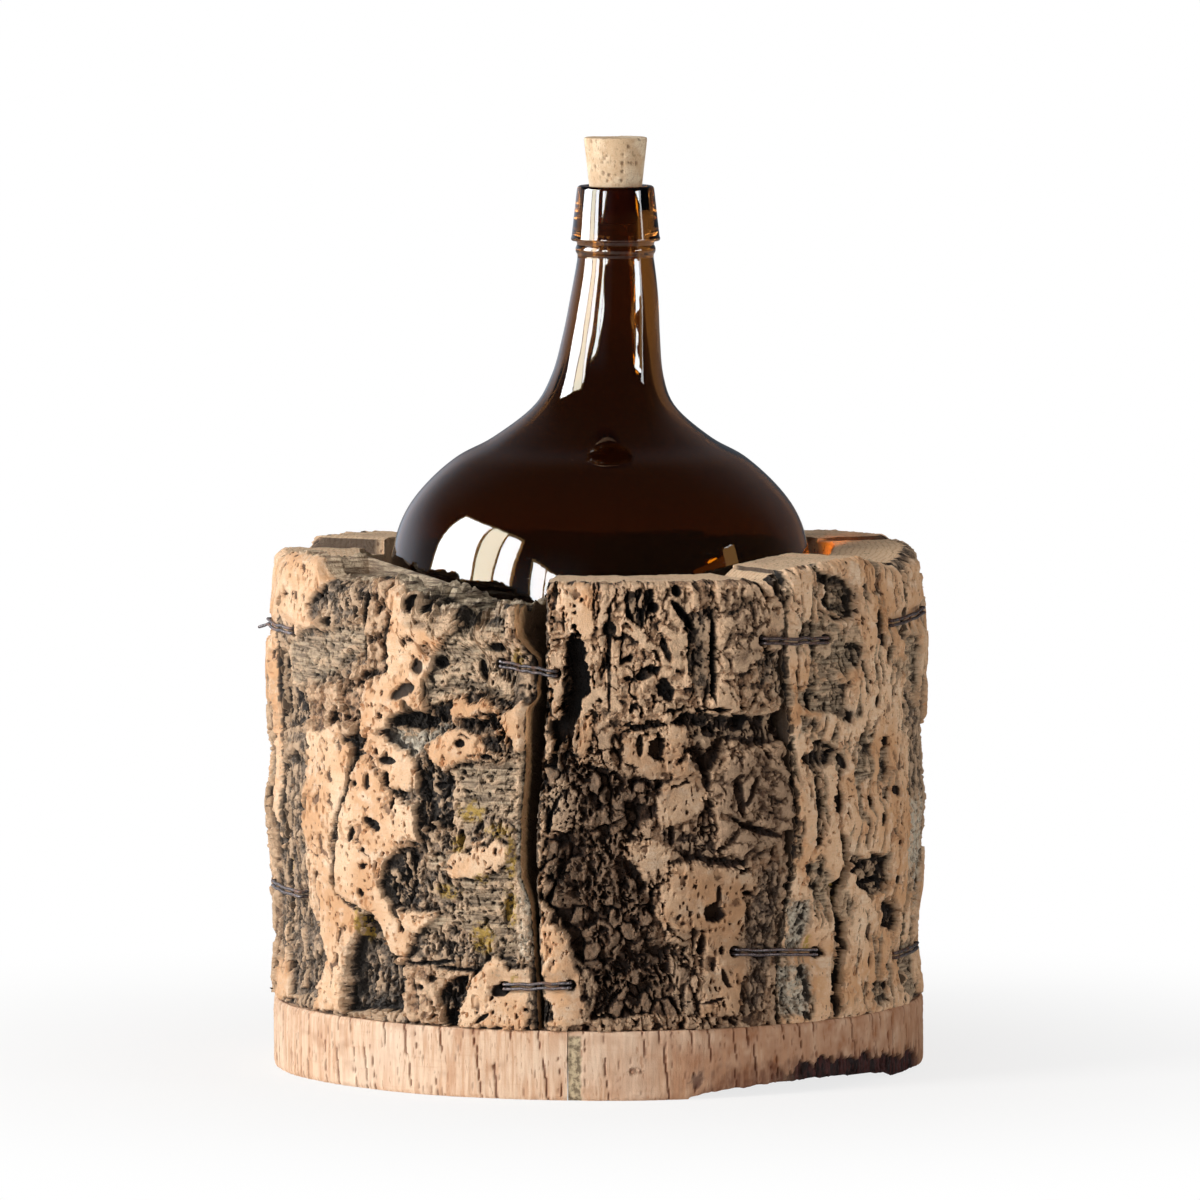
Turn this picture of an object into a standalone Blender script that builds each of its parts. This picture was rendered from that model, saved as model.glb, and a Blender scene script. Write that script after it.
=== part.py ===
# Cork-covered demijohn. An amber glass bottle with a cork stopper stands in a casing
# of eight slabs of cork bark, which iron wire sews together and wooden pegs hold to a
# base of two cork boards. The front faces -Y. Azimuths are degrees from the front
# towards +X, and heights are metres above the surface that the base rests on.
import math

import bmesh
import bpy
from mathutils import Matrix, Vector

# Clearances
TOUCH_GAP = 0.0003
SEAM_GAP = 0.0005
WIRE_GAP = 0.0005

# Base boards
BOARD_THICKNESS = 0.038
BOARD_LEDGE = 0.002
BOARD_SEAM_X = -0.016
BOARD_SEAM_GAP = 0.0004
BOARD_WAVE = 0.0012
BOARD_POINTS = 64

# Rotten edge under the right of the base
DECAY_START = 16.0
DECAY_END = 66.0
DECAY_HEIGHT = 0.008
DECAY_DEPTH = 0.030
DECAY_STEPS = 14

# Bottle
BOTTLE_HEIGHT = 0.4531
BOTTLE_RADIUS = 0.119
BOTTLE_X = 0.0022
NECK_SHIFT = 0.0082
BELLY_HEIGHT = 0.224
HEEL_RADIUS = 0.070
PUSH_UP = 0.024
BODY_WALL = 0.004
NECK_RADIUS = 0.0213
NECK_WALL = 0.0083
COLLAR_HEIGHT = 0.031
COLLAR_TOP_RADIUS = 0.0216
COLLAR_FOOT_RADIUS = 0.0249
LIP_ROUNDING = 0.0022
RING_RADIUS = 0.0224
RING_HEIGHT = 0.0050
RING_GROOVE = 0.0022
BOTTLE_SIDES = 36

# Shoulder from the neck to the belly, and body from the belly to the heel, each as
# shares of its own way outwards and downwards
SHOULDER_SHAPE = [
    (0.000, 0.000), (0.032, 0.112), (0.062, 0.235), (0.105, 0.353), (0.194, 0.444), (0.412, 0.535),
    (0.616, 0.594), (0.806, 0.684), (0.922, 0.775), (0.986, 0.893), (1.000, 1.000),
]
BODY_SHAPE = [
    (0.000, 0.000), (0.030, 0.165), (0.143, 0.390), (0.306, 0.610), (0.490, 0.790), (0.700, 0.930),
    (1.000, 1.000),
]
SHOULDER_RINGS = 16
BODY_RINGS = 8

# Stopper
STOPPER_TOP_RADIUS = 0.0178
STOPPER_LENGTH = 0.049
STOPPER_PROUD = 0.027
STOPPER_TAPER = 0.110
STOPPER_EDGE = 0.0012
STOPPER_SIDES = 24

# Bark casing
CASING_ROOM = 0.014
WALL_THICKNESS = 0.047
BARK_HEIGHT = 0.248
RIM_ROUNDING = 0.005
RIM_BAND = 0.008
EDGE_ROUNDING = 0.0028

# Barrel shape of the casing: share of the bark's height, and what it adds to the radius
BARREL_SHAPE = [
    (0.00, 0.0010), (0.09, -0.0010), (0.19, -0.0010), (0.31, 0.0025), (0.44, 0.0050), (0.53, 0.0030),
    (0.62, 0.0020), (0.76, 0.0030), (0.86, 0.0025), (0.94, 0.0010), (1.00, -0.0010),
]

# Seams between the panels: azimuth, how far the saw wandered and where on the height
SEAMS = [
    {"azimuth": -75.4, "wander": 2.6, "crest": 0.086},
    {"azimuth": -10.2, "wander": 0.8, "crest": 0.200},
    {"azimuth": 34.7, "wander": 1.2, "crest": 0.124},
    {"azimuth": 70.6, "wander": -0.9, "crest": 0.190},
    {"azimuth": 112.0, "wander": 1.5, "crest": 0.060},
    {"azimuth": 157.0, "wander": -1.3, "crest": 0.110},
    {"azimuth": 201.0, "wander": 1.6, "crest": 0.030},
    {"azimuth": 245.0, "wander": -1.4, "crest": 0.150},
]
SEAM_WAVE = 0.230
SEAM_STRAIGHT = 0.050

# Rows of faces below the lower stitches and between the stitches
FOOT_SPANS = 3
CLEAR_SPANS = 11

# Rows of points that the smooth inner face of a panel keeps between its seams
INNER_ROWS = (0, 4, 8, 14, 19)

# Panels: number of faces across, and the rim as shares of the width and what it adds
# to the bark's height
PANELS = [
    {"name": "bark_front_left", "columns": 21, "proud": 0.0012, "rim": [
        (0.00, 0.000), (0.08, 0.003), (0.16, 0.005), (0.30, 0.005), (0.42, 0.003), (0.56, 0.003),
        (0.67, -0.003), (0.75, -0.009), (0.83, -0.012), (0.91, -0.017), (0.95, -0.014), (1.00, -0.014)]},
    {"name": "bark_front", "columns": 14, "proud": 0.0, "rim": [
        (0.00, -0.002), (0.30, -0.002), (0.72, -0.002), (0.92, -0.008), (1.00, -0.004)]},
    {"name": "bark_front_right", "columns": 11, "proud": 0.0006, "rim": [
        (0.00, 0.002), (0.30, 0.005), (0.57, 0.006), (0.80, 0.001), (1.00, -0.004)]},
    {"name": "bark_right", "columns": 12, "proud": 0.0, "rim": [
        (0.00, -0.001), (0.35, 0.003), (0.70, 0.004), (1.00, 0.002)]},
    {"name": "bark_back_right", "columns": 12, "proud": 0.0008, "rim": [
        (0.00, 0.004), (0.40, 0.003), (1.00, -0.001)]},
    {"name": "bark_back", "columns": 12, "proud": -0.0004, "rim": [
        (0.00, 0.002), (0.50, 0.000), (1.00, 0.003)]},
    {"name": "bark_back_left", "columns": 12, "proud": 0.0006, "rim": [
        (0.00, -0.002), (0.45, -0.004), (0.60, 0.000), (1.00, -0.001)]},
    {"name": "bark_left", "columns": 11, "proud": 0.0, "rim": [
        (0.00, -0.003), (0.40, 0.000), (0.75, 0.002), (1.00, -0.002)]},
]

# Level of the bark in each panel over the barrel shape, and the forms that lie on it one
# over the other: panel, azimuth, height above the base board, half width along the bark,
# half height, lean in degrees, and level
PANEL_LEVELS = {
    "bark_front_left": -0.0025, "bark_front": -0.0020, "bark_front_right": 0.0010, "bark_right": -0.0020,
    "bark_back_right": 0.0005, "bark_back": -0.0020, "bark_back_left": -0.0020, "bark_left": 0.0005,
}
BARK_FORMS = [
    ("bark_front_left", -71.6, 0.165, 0.022, 0.039, 0, -0.0060),
    ("bark_front_left", -68.4, 0.068, 0.022, 0.064, 0, -0.0055),
    ("bark_front_left", -80.0, 0.062, 0.010, 0.102, 0, 0.0005),
    ("bark_front_left", -56.2, 0.223, 0.038, 0.015, 0, -0.0025),
    ("bark_front_left", -64.6, 0.228, 0.030, 0.016, -18, 0.0020),
    ("bark_front_left", -50.5, 0.228, 0.019, 0.011, 0, 0.0000),
    ("bark_front_left", -56.5, 0.201, 0.041, 0.017, 0, -0.0040),
    ("bark_front_left", -52.6, 0.170, 0.028, 0.017, 10, -0.0035),
    ("bark_front_left", -55.1, 0.079, 0.023, 0.076, 0, 0.0000),
    ("bark_front_left", -40.3, 0.100, 0.026, 0.041, 0, 0.0025),
    ("bark_front_left", -40.5, 0.221, 0.013, 0.028, 5, -0.0020),
    ("bark_front_left", -30.5, 0.229, 0.021, 0.020, 12, 0.0030),
    ("bark_front_left", -34.7, 0.187, 0.016, 0.028, 8, 0.0025),
    ("bark_front_left", -21.0, 0.204, 0.029, 0.023, 0, -0.0020),
    ("bark_front_left", -20.8, 0.236, 0.019, 0.012, 0, -0.0045),
    ("bark_front_left", -16.8, 0.213, 0.019, 0.011, 0, -0.0005),
    ("bark_front_left", -23.5, 0.154, 0.021, 0.011, -8, 0.0010),
    ("bark_front_left", -36.2, 0.150, 0.021, 0.013, 0, -0.0050),
    ("bark_front_left", -28.9, 0.122, 0.012, 0.025, 4, -0.0060),
    ("bark_front_left", -18.5, 0.129, 0.023, 0.021, 0, -0.0025),
    ("bark_front_left", -21.7, 0.060, 0.033, 0.050, 0, -0.0030),
    ("bark_front_left", -21.5, 0.092, 0.019, 0.011, -8, 0.0010),
    ("bark_front_left", -35.7, 0.081, 0.014, 0.021, 6, -0.0025),
    ("bark_front_left", -20.3, 0.062, 0.020, 0.011, 0, -0.0010),
    ("bark_front_left", -36.1, 0.047, 0.010, 0.019, -14, 0.0020),
    ("bark_front_left", -30.4, 0.017, 0.021, 0.017, 0, -0.0020),
    ("bark_front_left", -18.2, 0.019, 0.022, 0.020, 10, 0.0010),
    ("bark_front_left", -43.9, 0.030, 0.022, 0.025, 0, -0.0090),
    ("bark_front_left", -52.0, 0.053, 0.011, 0.020, 6, 0.0015),
    ("bark_front", 14.6, 0.207, 0.073, 0.043, 0, -0.0005),
    ("bark_front", -3.4, 0.179, 0.010, 0.036, 0, -0.0130),
    ("bark_front", 25.5, 0.221, 0.013, 0.026, 0, 0.0030),
    ("bark_front", 11.3, 0.196, 0.014, 0.026, 4, 0.0020),
    ("bark_front", 12.1, 0.146, 0.026, 0.021, 0, -0.0030),
    ("bark_front", 29.0, 0.122, 0.027, 0.034, 0, 0.0030),
    ("bark_front", 17.4, 0.153, 0.016, 0.014, 20, -0.0070),
    ("bark_front", -1.1, 0.147, 0.019, 0.020, 0, -0.0045),
    ("bark_front", 4.1, 0.070, 0.044, 0.067, 0, -0.0070),
    ("bark_front", -7.4, 0.102, 0.010, 0.033, 0, -0.0040),
    ("bark_front", 13.8, 0.108, 0.020, 0.025, 20, -0.0035),
    ("bark_front", 20.7, 0.077, 0.029, 0.016, -6, 0.0020),
    ("bark_front", 21.6, 0.037, 0.017, 0.032, 0, 0.0020),
    ("bark_front", 30.3, 0.044, 0.012, 0.040, 0, 0.0000),
    ("bark_front", -7.4, 0.027, 0.013, 0.029, 0, 0.0030),
    ("bark_front", -4.7, 0.019, 0.013, 0.021, 22, 0.0025),
    ("bark_front", 14.5, 0.024, 0.011, 0.018, 0, -0.0040),
    ("bark_front_right", 48.3, 0.236, 0.016, 0.015, -22, -0.0080),
    ("bark_front_right", 42.9, 0.215, 0.019, 0.011, 0, -0.0020),
    ("bark_front_right", 48.3, 0.197, 0.016, 0.012, 0, -0.0020),
    ("bark_front_right", 43.0, 0.177, 0.020, 0.012, 0, -0.0020),
    ("bark_front_right", 44.0, 0.081, 0.016, 0.017, -28, -0.0035),
    ("bark_front_right", 58.6, 0.155, 0.022, 0.019, 15, -0.0035),
    ("bark_front_right", 60.1, 0.084, 0.030, 0.019, 0, -0.0050),
    ("bark_front_right", 37.7, 0.027, 0.011, 0.025, 0, -0.0030),
    ("bark_front_right", 48.2, 0.066, 0.008, 0.067, 0, -0.0085),
    ("bark_front_right", 60.4, 0.018, 0.012, 0.017, -8, -0.0045),
    ("bark_right", 76.7, 0.064, 0.023, 0.045, 4, -0.0015),
    ("bark_right", 77.1, 0.191, 0.022, 0.039, -5, -0.0065),
    ("bark_right", 101.7, 0.079, 0.019, 0.043, 13, 0.0020),
    ("bark_right", 108.2, 0.037, 0.021, 0.038, 0, -0.0010),
    ("bark_right", 93.4, 0.120, 0.019, 0.037, 6, 0.0020),
    ("bark_right", 97.3, 0.048, 0.022, 0.031, 6, -0.0020),
    ("bark_right", 98.1, 0.183, 0.017, 0.036, 4, -0.0020),
    ("bark_right", 84.1, 0.236, 0.014, 0.041, -13, -0.0020),
    ("bark_right", 76.6, 0.120, 0.016, 0.033, -3, 0.0025),
    ("bark_right", 97.7, 0.097, 0.012, 0.041, -4, -0.0030),
    ("bark_right", 73.1, 0.215, 0.013, 0.037, 13, -0.0030),
    ("bark_right", 75.7, 0.065, 0.012, 0.037, 7, 0.0025),
    ("bark_right", 83.7, 0.022, 0.019, 0.022, -7, 0.0020),
    ("bark_right", 110.1, 0.028, 0.013, 0.028, -9, -0.0025),
    ("bark_right", 76.9, 0.034, 0.013, 0.027, 0, -0.0030),
    ("bark_right", 109.7, 0.214, 0.011, 0.028, -7, -0.0015),
    ("bark_back_right", 131.4, 0.083, 0.022, 0.043, 4, 0.0020),
    ("bark_back_right", 140.5, 0.032, 0.023, 0.028, 4, -0.0075),
    ("bark_back_right", 115.8, 0.229, 0.022, 0.029, 4, 0.0030),
    ("bark_back_right", 138.4, 0.227, 0.015, 0.040, -1, -0.0040),
    ("bark_back_right", 116.8, 0.062, 0.017, 0.032, 0, -0.0015),
    ("bark_back_right", 137.0, 0.138, 0.023, 0.020, -8, -0.0040),
    ("bark_back_right", 151.7, 0.203, 0.015, 0.027, -10, -0.0025),
    ("bark_back_right", 147.6, 0.126, 0.009, 0.043, -8, -0.0010),
    ("bark_back_right", 147.9, 0.101, 0.009, 0.038, 3, -0.0030),
    ("bark_back_right", 123.3, 0.227, 0.015, 0.020, -7, -0.0065),
    ("bark_back_right", 151.1, 0.233, 0.009, 0.033, -11, -0.0030),
    ("bark_back_right", 125.2, 0.147, 0.014, 0.021, 5, 0.0025),
    ("bark_back_right", 133.4, 0.174, 0.015, 0.018, 2, 0.0015),
    ("bark_back_right", 146.1, 0.202, 0.015, 0.017, 6, -0.0025),
    ("bark_back_right", 117.6, 0.122, 0.013, 0.018, 1, -0.0020),
    ("bark_back_right", 144.5, 0.215, 0.012, 0.016, 13, 0.0015),
    ("bark_back", 197.9, 0.015, 0.022, 0.037, -2, 0.0030),
    ("bark_back", 193.0, 0.042, 0.021, 0.035, -6, 0.0015),
    ("bark_back", 196.3, 0.155, 0.014, 0.042, -7, -0.0070),
    ("bark_back", 195.3, 0.119, 0.018, 0.032, -3, -0.0035),
    ("bark_back", 170.7, 0.123, 0.017, 0.028, 0, 0.0010),
    ("bark_back", 196.7, 0.165, 0.017, 0.028, 13, -0.0065),
    ("bark_back", 172.7, 0.191, 0.011, 0.043, 9, 0.0030),
    ("bark_back", 198.1, 0.205, 0.020, 0.023, -4, 0.0020),
    ("bark_back", 172.4, 0.168, 0.019, 0.024, -10, -0.0070),
    ("bark_back", 194.1, 0.180, 0.013, 0.034, -13, -0.0020),
    ("bark_back", 199.6, 0.198, 0.015, 0.028, 2, -0.0060),
    ("bark_back", 181.2, 0.012, 0.011, 0.038, 9, 0.0020),
    ("bark_back", 191.8, 0.131, 0.013, 0.027, 2, -0.0030),
    ("bark_back", 195.2, 0.216, 0.012, 0.028, -13, -0.0030),
    ("bark_back", 163.5, 0.195, 0.019, 0.016, -13, -0.0045),
    ("bark_back", 176.0, 0.051, 0.011, 0.020, 2, -0.0030),
    ("bark_back_left", 209.8, 0.197, 0.023, 0.045, 10, 0.0025),
    ("bark_back_left", 202.6, 0.016, 0.021, 0.039, 0, -0.0060),
    ("bark_back_left", 239.4, 0.151, 0.017, 0.043, 7, -0.0030),
    ("bark_back_left", 215.9, 0.160, 0.016, 0.039, -11, -0.0065),
    ("bark_back_left", 224.1, 0.016, 0.013, 0.045, 8, -0.0060),
    ("bark_back_left", 244.5, 0.186, 0.011, 0.044, -11, 0.0025),
    ("bark_back_left", 225.5, 0.107, 0.017, 0.027, 13, 0.0030),
    ("bark_back_left", 233.4, 0.187, 0.019, 0.023, -10, -0.0075),
    ("bark_back_left", 224.7, 0.233, 0.018, 0.022, 3, -0.0055),
    ("bark_back_left", 231.2, 0.022, 0.022, 0.018, 4, -0.0025),
    ("bark_back_left", 203.6, 0.114, 0.011, 0.034, 13, -0.0015),
    ("bark_back_left", 234.6, 0.080, 0.014, 0.026, 0, -0.0060),
    ("bark_back_left", 230.9, 0.089, 0.011, 0.028, -9, -0.0030),
    ("bark_back_left", 224.3, 0.042, 0.010, 0.029, -3, 0.0015),
    ("bark_back_left", 201.8, 0.030, 0.015, 0.017, 2, -0.0075),
    ("bark_back_left", 238.7, 0.160, 0.010, 0.022, 3, -0.0070),
    ("bark_left", 274.8, 0.048, 0.021, 0.040, 10, 0.0025),
    ("bark_left", 277.3, 0.013, 0.021, 0.033, 2, -0.0075),
    ("bark_left", 253.7, 0.053, 0.016, 0.039, 3, 0.0025),
    ("bark_left", 246.3, 0.106, 0.015, 0.040, 7, 0.0025),
    ("bark_left", 257.7, 0.210, 0.017, 0.032, 7, 0.0010),
    ("bark_left", 280.7, 0.179, 0.020, 0.027, 10, -0.0020),
    ("bark_left", 269.7, 0.087, 0.010, 0.045, 10, -0.0025),
    ("bark_left", 249.6, 0.226, 0.020, 0.021, 6, -0.0015),
    ("bark_left", 251.6, 0.234, 0.017, 0.024, 1, -0.0065),
    ("bark_left", 252.2, 0.223, 0.021, 0.017, 10, -0.0040),
    ("bark_left", 278.8, 0.235, 0.009, 0.039, -2, 0.0015),
    ("bark_left", 266.1, 0.209, 0.017, 0.020, -11, -0.0010),
    ("bark_left", 281.5, 0.041, 0.013, 0.025, 0, 0.0030),
    ("bark_left", 256.3, 0.106, 0.012, 0.026, 0, 0.0020),
    ("bark_left", 274.8, 0.122, 0.010, 0.029, -7, 0.0020),
]
FORM_EDGE = 0.006
FORM_POWER = 2.6

# The right edge of the front left panel slants back from the seam: share of the bark's
# height, and how far it lies back at the outer surface
EDGE_SLANT = [
    (0.00, 0.0020), (0.28, 0.0020), (0.34, 0.0070), (0.71, 0.0080), (0.74, 0.0030), (0.82, 0.0030),
    (0.87, 0.0150), (1.00, 0.0150),
]

# Wire stitches: seam, reach of the hole on its left and right, distance below the rim
# or above the base board, how much the right hole is higher, and an outer tail
WIRE_DIAMETER = 0.0018
WIRE_PITCH = 0.0026
WIRE_BEND = 0.0022
WIRE_TAIL = 0.009
TAIL_LEVELS = (-1.6, -1.1)
TAIL_SHARES = (0.6, 0.25)
TURN_LEVELS = (-1.5, -0.5, 0.5, 1.5)
TURN_START = 0.6
TURN_END = 0.4
HOLE_CLEARANCE = 0.0008
SEAT_BAND = 0.007
SEAT_FADE = 0.012
UPPER_STITCHES = [
    {"seam": 0, "left": 0.029, "right": 0.034, "drop": 0.038, "rise": 0.000, "tail": True},
    {"seam": 1, "left": 0.023, "right": 0.0075, "drop": 0.049, "rise": -0.005, "tail": False},
    {"seam": 2, "left": 0.0135, "right": 0.030, "drop": 0.0365, "rise": -0.002, "tail": False},
    {"seam": 3, "left": 0.022, "right": 0.042, "drop": 0.0315, "rise": 0.002, "tail": False},
    {"seam": 4, "left": 0.018, "right": 0.020, "drop": 0.042, "rise": 0.001, "tail": False},
    {"seam": 5, "left": 0.022, "right": 0.017, "drop": 0.036, "rise": -0.002, "tail": False},
    {"seam": 6, "left": 0.017, "right": 0.024, "drop": 0.045, "rise": 0.002, "tail": False},
    {"seam": 7, "left": 0.021, "right": 0.019, "drop": 0.040, "rise": 0.000, "tail": False},
]
LOWER_STITCHES = [
    {"seam": 0, "left": 0.033, "right": 0.028, "drop": 0.064, "rise": 0.000, "tail": False},
    {"seam": 1, "left": 0.020, "right": 0.0175, "drop": 0.0245, "rise": 0.0015, "tail": False},
    {"seam": 2, "left": 0.028, "right": 0.026, "drop": 0.040, "rise": -0.0035, "tail": False},
    {"seam": 3, "left": 0.013, "right": 0.040, "drop": 0.029, "rise": 0.000, "tail": False},
    {"seam": 4, "left": 0.020, "right": 0.018, "drop": 0.034, "rise": 0.001, "tail": False},
    {"seam": 5, "left": 0.018, "right": 0.021, "drop": 0.028, "rise": 0.000, "tail": False},
    {"seam": 6, "left": 0.022, "right": 0.019, "drop": 0.038, "rise": -0.001, "tail": False},
    {"seam": 7, "left": 0.019, "right": 0.022, "drop": 0.032, "rise": 0.001, "tail": False},
]

# Wooden fastenings
PEG_DIAMETER = 0.008
PEG_GRIP = 0.030
PEG_RECESS = 0.003
DOWEL_DIAMETER = 0.008
DOWEL_LENGTH = 0.050
DOWEL_SPACING = 0.180
PEG_SIDES = 12

# Sizes that follow from those above
BOARD_TOP = BOARD_THICKNESS
FOOT_HEIGHT = BOARD_TOP + TOUCH_GAP
RIM_HEIGHT = BOARD_TOP + BARK_HEIGHT
BORE_RADIUS = BOTTLE_RADIUS + CASING_ROOM
CASING_RADIUS = BORE_RADIUS + WALL_THICKNESS
BOARD_RADIUS = CASING_RADIUS + BOARD_LEDGE
PEG_CIRCLE = (BORE_RADIUS + CASING_RADIUS) / 2
BOTTLE_FOOT = BOARD_TOP + TOUCH_GAP
LIP_HEIGHT = BOTTLE_FOOT + BOTTLE_HEIGHT
NECK_TOP = LIP_HEIGHT - COLLAR_HEIGHT - RING_HEIGHT - 2 * RING_GROOVE
BELLY_TOP = BOTTLE_FOOT + BELLY_HEIGHT
MOUTH_X = BOTTLE_X + NECK_SHIFT
HOLE_DIAMETER = WIRE_PITCH + WIRE_DIAMETER + 2 * HOLE_CLEARANCE


# Small helpers

def smooth_step(value):
    value = min(max(value, 0.0), 1.0)
    return value * value * (3 - 2 * value)


def read_table(table, share):
    # Value of a table of (share, value) points, straight between its points
    for (start, low), (end, high) in zip(table, table[1:]):
        if share <= end:
            return low + (high - low) * max(share - start, 0.0) / (end - start)
    return table[-1][1]


def curve_through(points, count):
    # Evenly stepped points on a smooth curve that passes through the given ones
    first = [2 * a - b for a, b in zip(points[0], points[1])]
    last = [2 * a - b for a, b in zip(points[-1], points[-2])]
    knots = [first, *points, last]
    result = []
    for step in range(count + 1):
        place = step * (len(points) - 1) / count
        index = min(int(place), len(points) - 2)
        t = place - index
        p0, p1, p2, p3 = knots[index:index + 4]
        result.append(tuple(
            0.5 * (2 * b + (c - a) * t + (2 * a - 5 * b + 4 * c - d) * t ** 2 + (3 * b - a - 3 * c + d) * t ** 3)
            for a, b, c, d in zip(p0, p1, p2, p3)))
    return result


def around(azimuth, radius, height):
    angle = math.radians(azimuth)
    return Vector((radius * math.sin(angle), -radius * math.cos(angle), height))


def arc_degrees(length, radius):
    return math.degrees(length / radius)


def make_material(name, color, roughness, metallic=0.0):
    material = bpy.data.materials.new(name)
    material.use_nodes = True
    shader = material.node_tree.nodes["Principled BSDF"]
    shader.inputs["Base Color"].default_value = (*color, 1.0)
    shader.inputs["Roughness"].default_value = roughness
    shader.inputs["Metallic"].default_value = metallic
    return material


def add_object(name, mesh_data, material=None):
    thing = bpy.data.objects.new(name, mesh_data)
    bpy.context.scene.collection.objects.link(thing)
    if material:
        mesh_data.materials.append(material)
    return thing


def object_from_bmesh(name, shape, material=None, smooth_angle=None):
    mesh = bpy.data.meshes.new(name)
    shape.to_mesh(mesh)
    shape.free()
    if smooth_angle:
        mesh.shade_smooth()
        mesh.set_sharp_from_angle(angle=math.radians(smooth_angle))
    return add_object(name, mesh, material)


def add_round_bar(shape, start, end, diameter, sides):
    # Closed cylinder from start to end, added to a bmesh
    axis = end - start
    turn = axis.to_track_quat("Z", "Y").to_matrix().to_4x4()
    bmesh.ops.create_cone(
        shape, cap_ends=True, segments=sides, radius1=diameter / 2, radius2=diameter / 2,
        depth=axis.length, matrix=Matrix.Translation((start + end) / 2) @ turn)


def cut_away(thing, cutter_shape):
    cutter = object_from_bmesh(thing.name + "_cutter", cutter_shape)
    cutter.hide_render = True
    cutter.display_type = "WIRE"
    boolean = thing.modifiers.new("cut", "BOOLEAN")
    boolean.operation = "DIFFERENCE"
    boolean.solver = "EXACT"
    boolean.object = cutter


# Bark casing

def seam_azimuth(seam, height):
    above = min(height - BOARD_TOP, BARK_HEIGHT - SEAM_STRAIGHT)
    wave = math.cos(2 * math.pi * (above - seam["crest"]) / SEAM_WAVE)
    return seam["azimuth"] + seam["wander"] * wave


def place_stitches():
    # Works out where the holes of each stitch lie
    placed = []
    for level, stitches in (("upper", UPPER_STITCHES), ("lower", LOWER_STITCHES)):
        for stitch in stitches:
            height = RIM_HEIGHT - stitch["drop"] if level == "upper" else BOARD_TOP + stitch["drop"]
            middle = seam_azimuth(SEAMS[stitch["seam"]], height)
            placed.append({
                "name": f"wire_{level}_{stitch['seam'] + 1}",
                "seam": stitch["seam"],
                "level": level,
                "height": height,
                "left": middle - arc_degrees(stitch["left"], CASING_RADIUS),
                "right": middle + arc_degrees(stitch["right"], CASING_RADIUS),
                "rise": stitch["rise"],
                "tail": stitch["tail"],
            })
    return placed


def barrel_radius(height):
    return CASING_RADIUS + read_table(BARREL_SHAPE, (height - BOARD_TOP) / BARK_HEIGHT)


def angle_between(first, second):
    return (first - second + 180) % 360 - 180


def seat_share(stitch, azimuth, height, margin):
    # One where the bark is flat under a stitch, fading to nothing beside it
    middle = (stitch["left"] + stitch["right"]) / 2
    half = (stitch["right"] - stitch["left"]) / 2 + margin
    side = math.radians(max(abs(angle_between(azimuth, middle)) - half, 0)) * CASING_RADIUS
    above = max(abs(height - stitch["height"]) - SEAT_BAND - abs(stitch["rise"]) / 2, 0)
    return 1 - smooth_step(math.hypot(side, above) / SEAT_FADE)


def bark_level(panel, azimuth, height):
    # Level of the bark over the barrel shape: each form lies over the ones before it
    level = PANEL_LEVELS[panel["name"]]
    for name, form_azimuth, form_height, half_width, half_height, lean, rise in BARK_FORMS:
        if name == panel["name"]:
            side = math.radians(angle_between(azimuth, form_azimuth)) * CASING_RADIUS
            above = height - BOARD_TOP - form_height
            turn = math.radians(lean)
            across = abs(side * math.cos(turn) - above * math.sin(turn)) / half_width
            upwards = abs(side * math.sin(turn) + above * math.cos(turn)) / half_height
            way = (across ** FORM_POWER + upwards ** FORM_POWER) ** (1 / FORM_POWER)
            inside = smooth_step((1 - way) * min(half_width, half_height) / FORM_EDGE + 0.5)
            level += (rise - level) * inside
    return level


def bark_radius(panel, share, azimuth, height, rim, stitches):
    # Outer radius of a panel: barrel, level of the bark and worn edges
    radius = barrel_radius(height) + panel["proud"] + bark_level(panel, azimuth, height)
    if share in (0.0, 1.0):
        radius -= EDGE_ROUNDING
    margin = (panel["end"] - panel["start"]) / panel["columns"]
    for stitch in stitches:
        seat = seat_share(stitch, azimuth, height, margin)
        radius += (barrel_radius(stitch["height"]) - radius) * seat
    if height >= rim:
        radius -= RIM_ROUNDING
    return radius


def row_heights(stitches, seam, rim):
    # Heights of the rows of points at a seam, close together under its two stitches
    lower = next(s["height"] for s in stitches if s["seam"] == seam and s["level"] == "lower")
    upper = next(s["height"] for s in stitches if s["seam"] == seam and s["level"] == "upper")
    below = lower - SEAT_BAND - FOOT_HEIGHT
    clear = upper - lower - 2 * SEAT_BAND
    band = max(rim - RIM_BAND, (upper + SEAT_BAND + rim) / 2)
    rows = [FOOT_HEIGHT + below * step / FOOT_SPANS for step in range(FOOT_SPANS + 1)]
    rows += [lower + SEAT_BAND + clear * step / CLEAR_SPANS for step in range(CLEAR_SPANS + 1)]
    rows += [upper + SEAT_BAND, (upper + SEAT_BAND + band) / 2, band, rim]
    return rows


def slanted_back(panel, radius, height):
    # Degrees that the slanting edge lies back from the seam
    if panel["name"] != "bark_front_left":
        return 0.0
    out = (radius - BORE_RADIUS) / WALL_THICKNESS
    return arc_degrees(read_table(EDGE_SLANT, (height - BOARD_TOP) / BARK_HEIGHT) * out, CASING_RADIUS)


def add_inner_strip(shape, left, right, kept):
    # Inner face between two upright rows of points, of which one may have only the kept rows
    for part, (low, high) in enumerate(zip(kept, kept[1:])):
        sides = [
            points[low:high + 1] if len(points) > len(kept) else points[part:part + 2]
            for points in (left, right)]
        many, ends = sorted(sides, key=len, reverse=True)
        half = (len(many) - 1) // 2
        for row in range(len(many) - 1):
            shape.faces.new((many[row], many[row + 1], ends[0] if row < half else ends[1]))
        shape.faces.new((many[half], ends[1], ends[0]))


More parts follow.
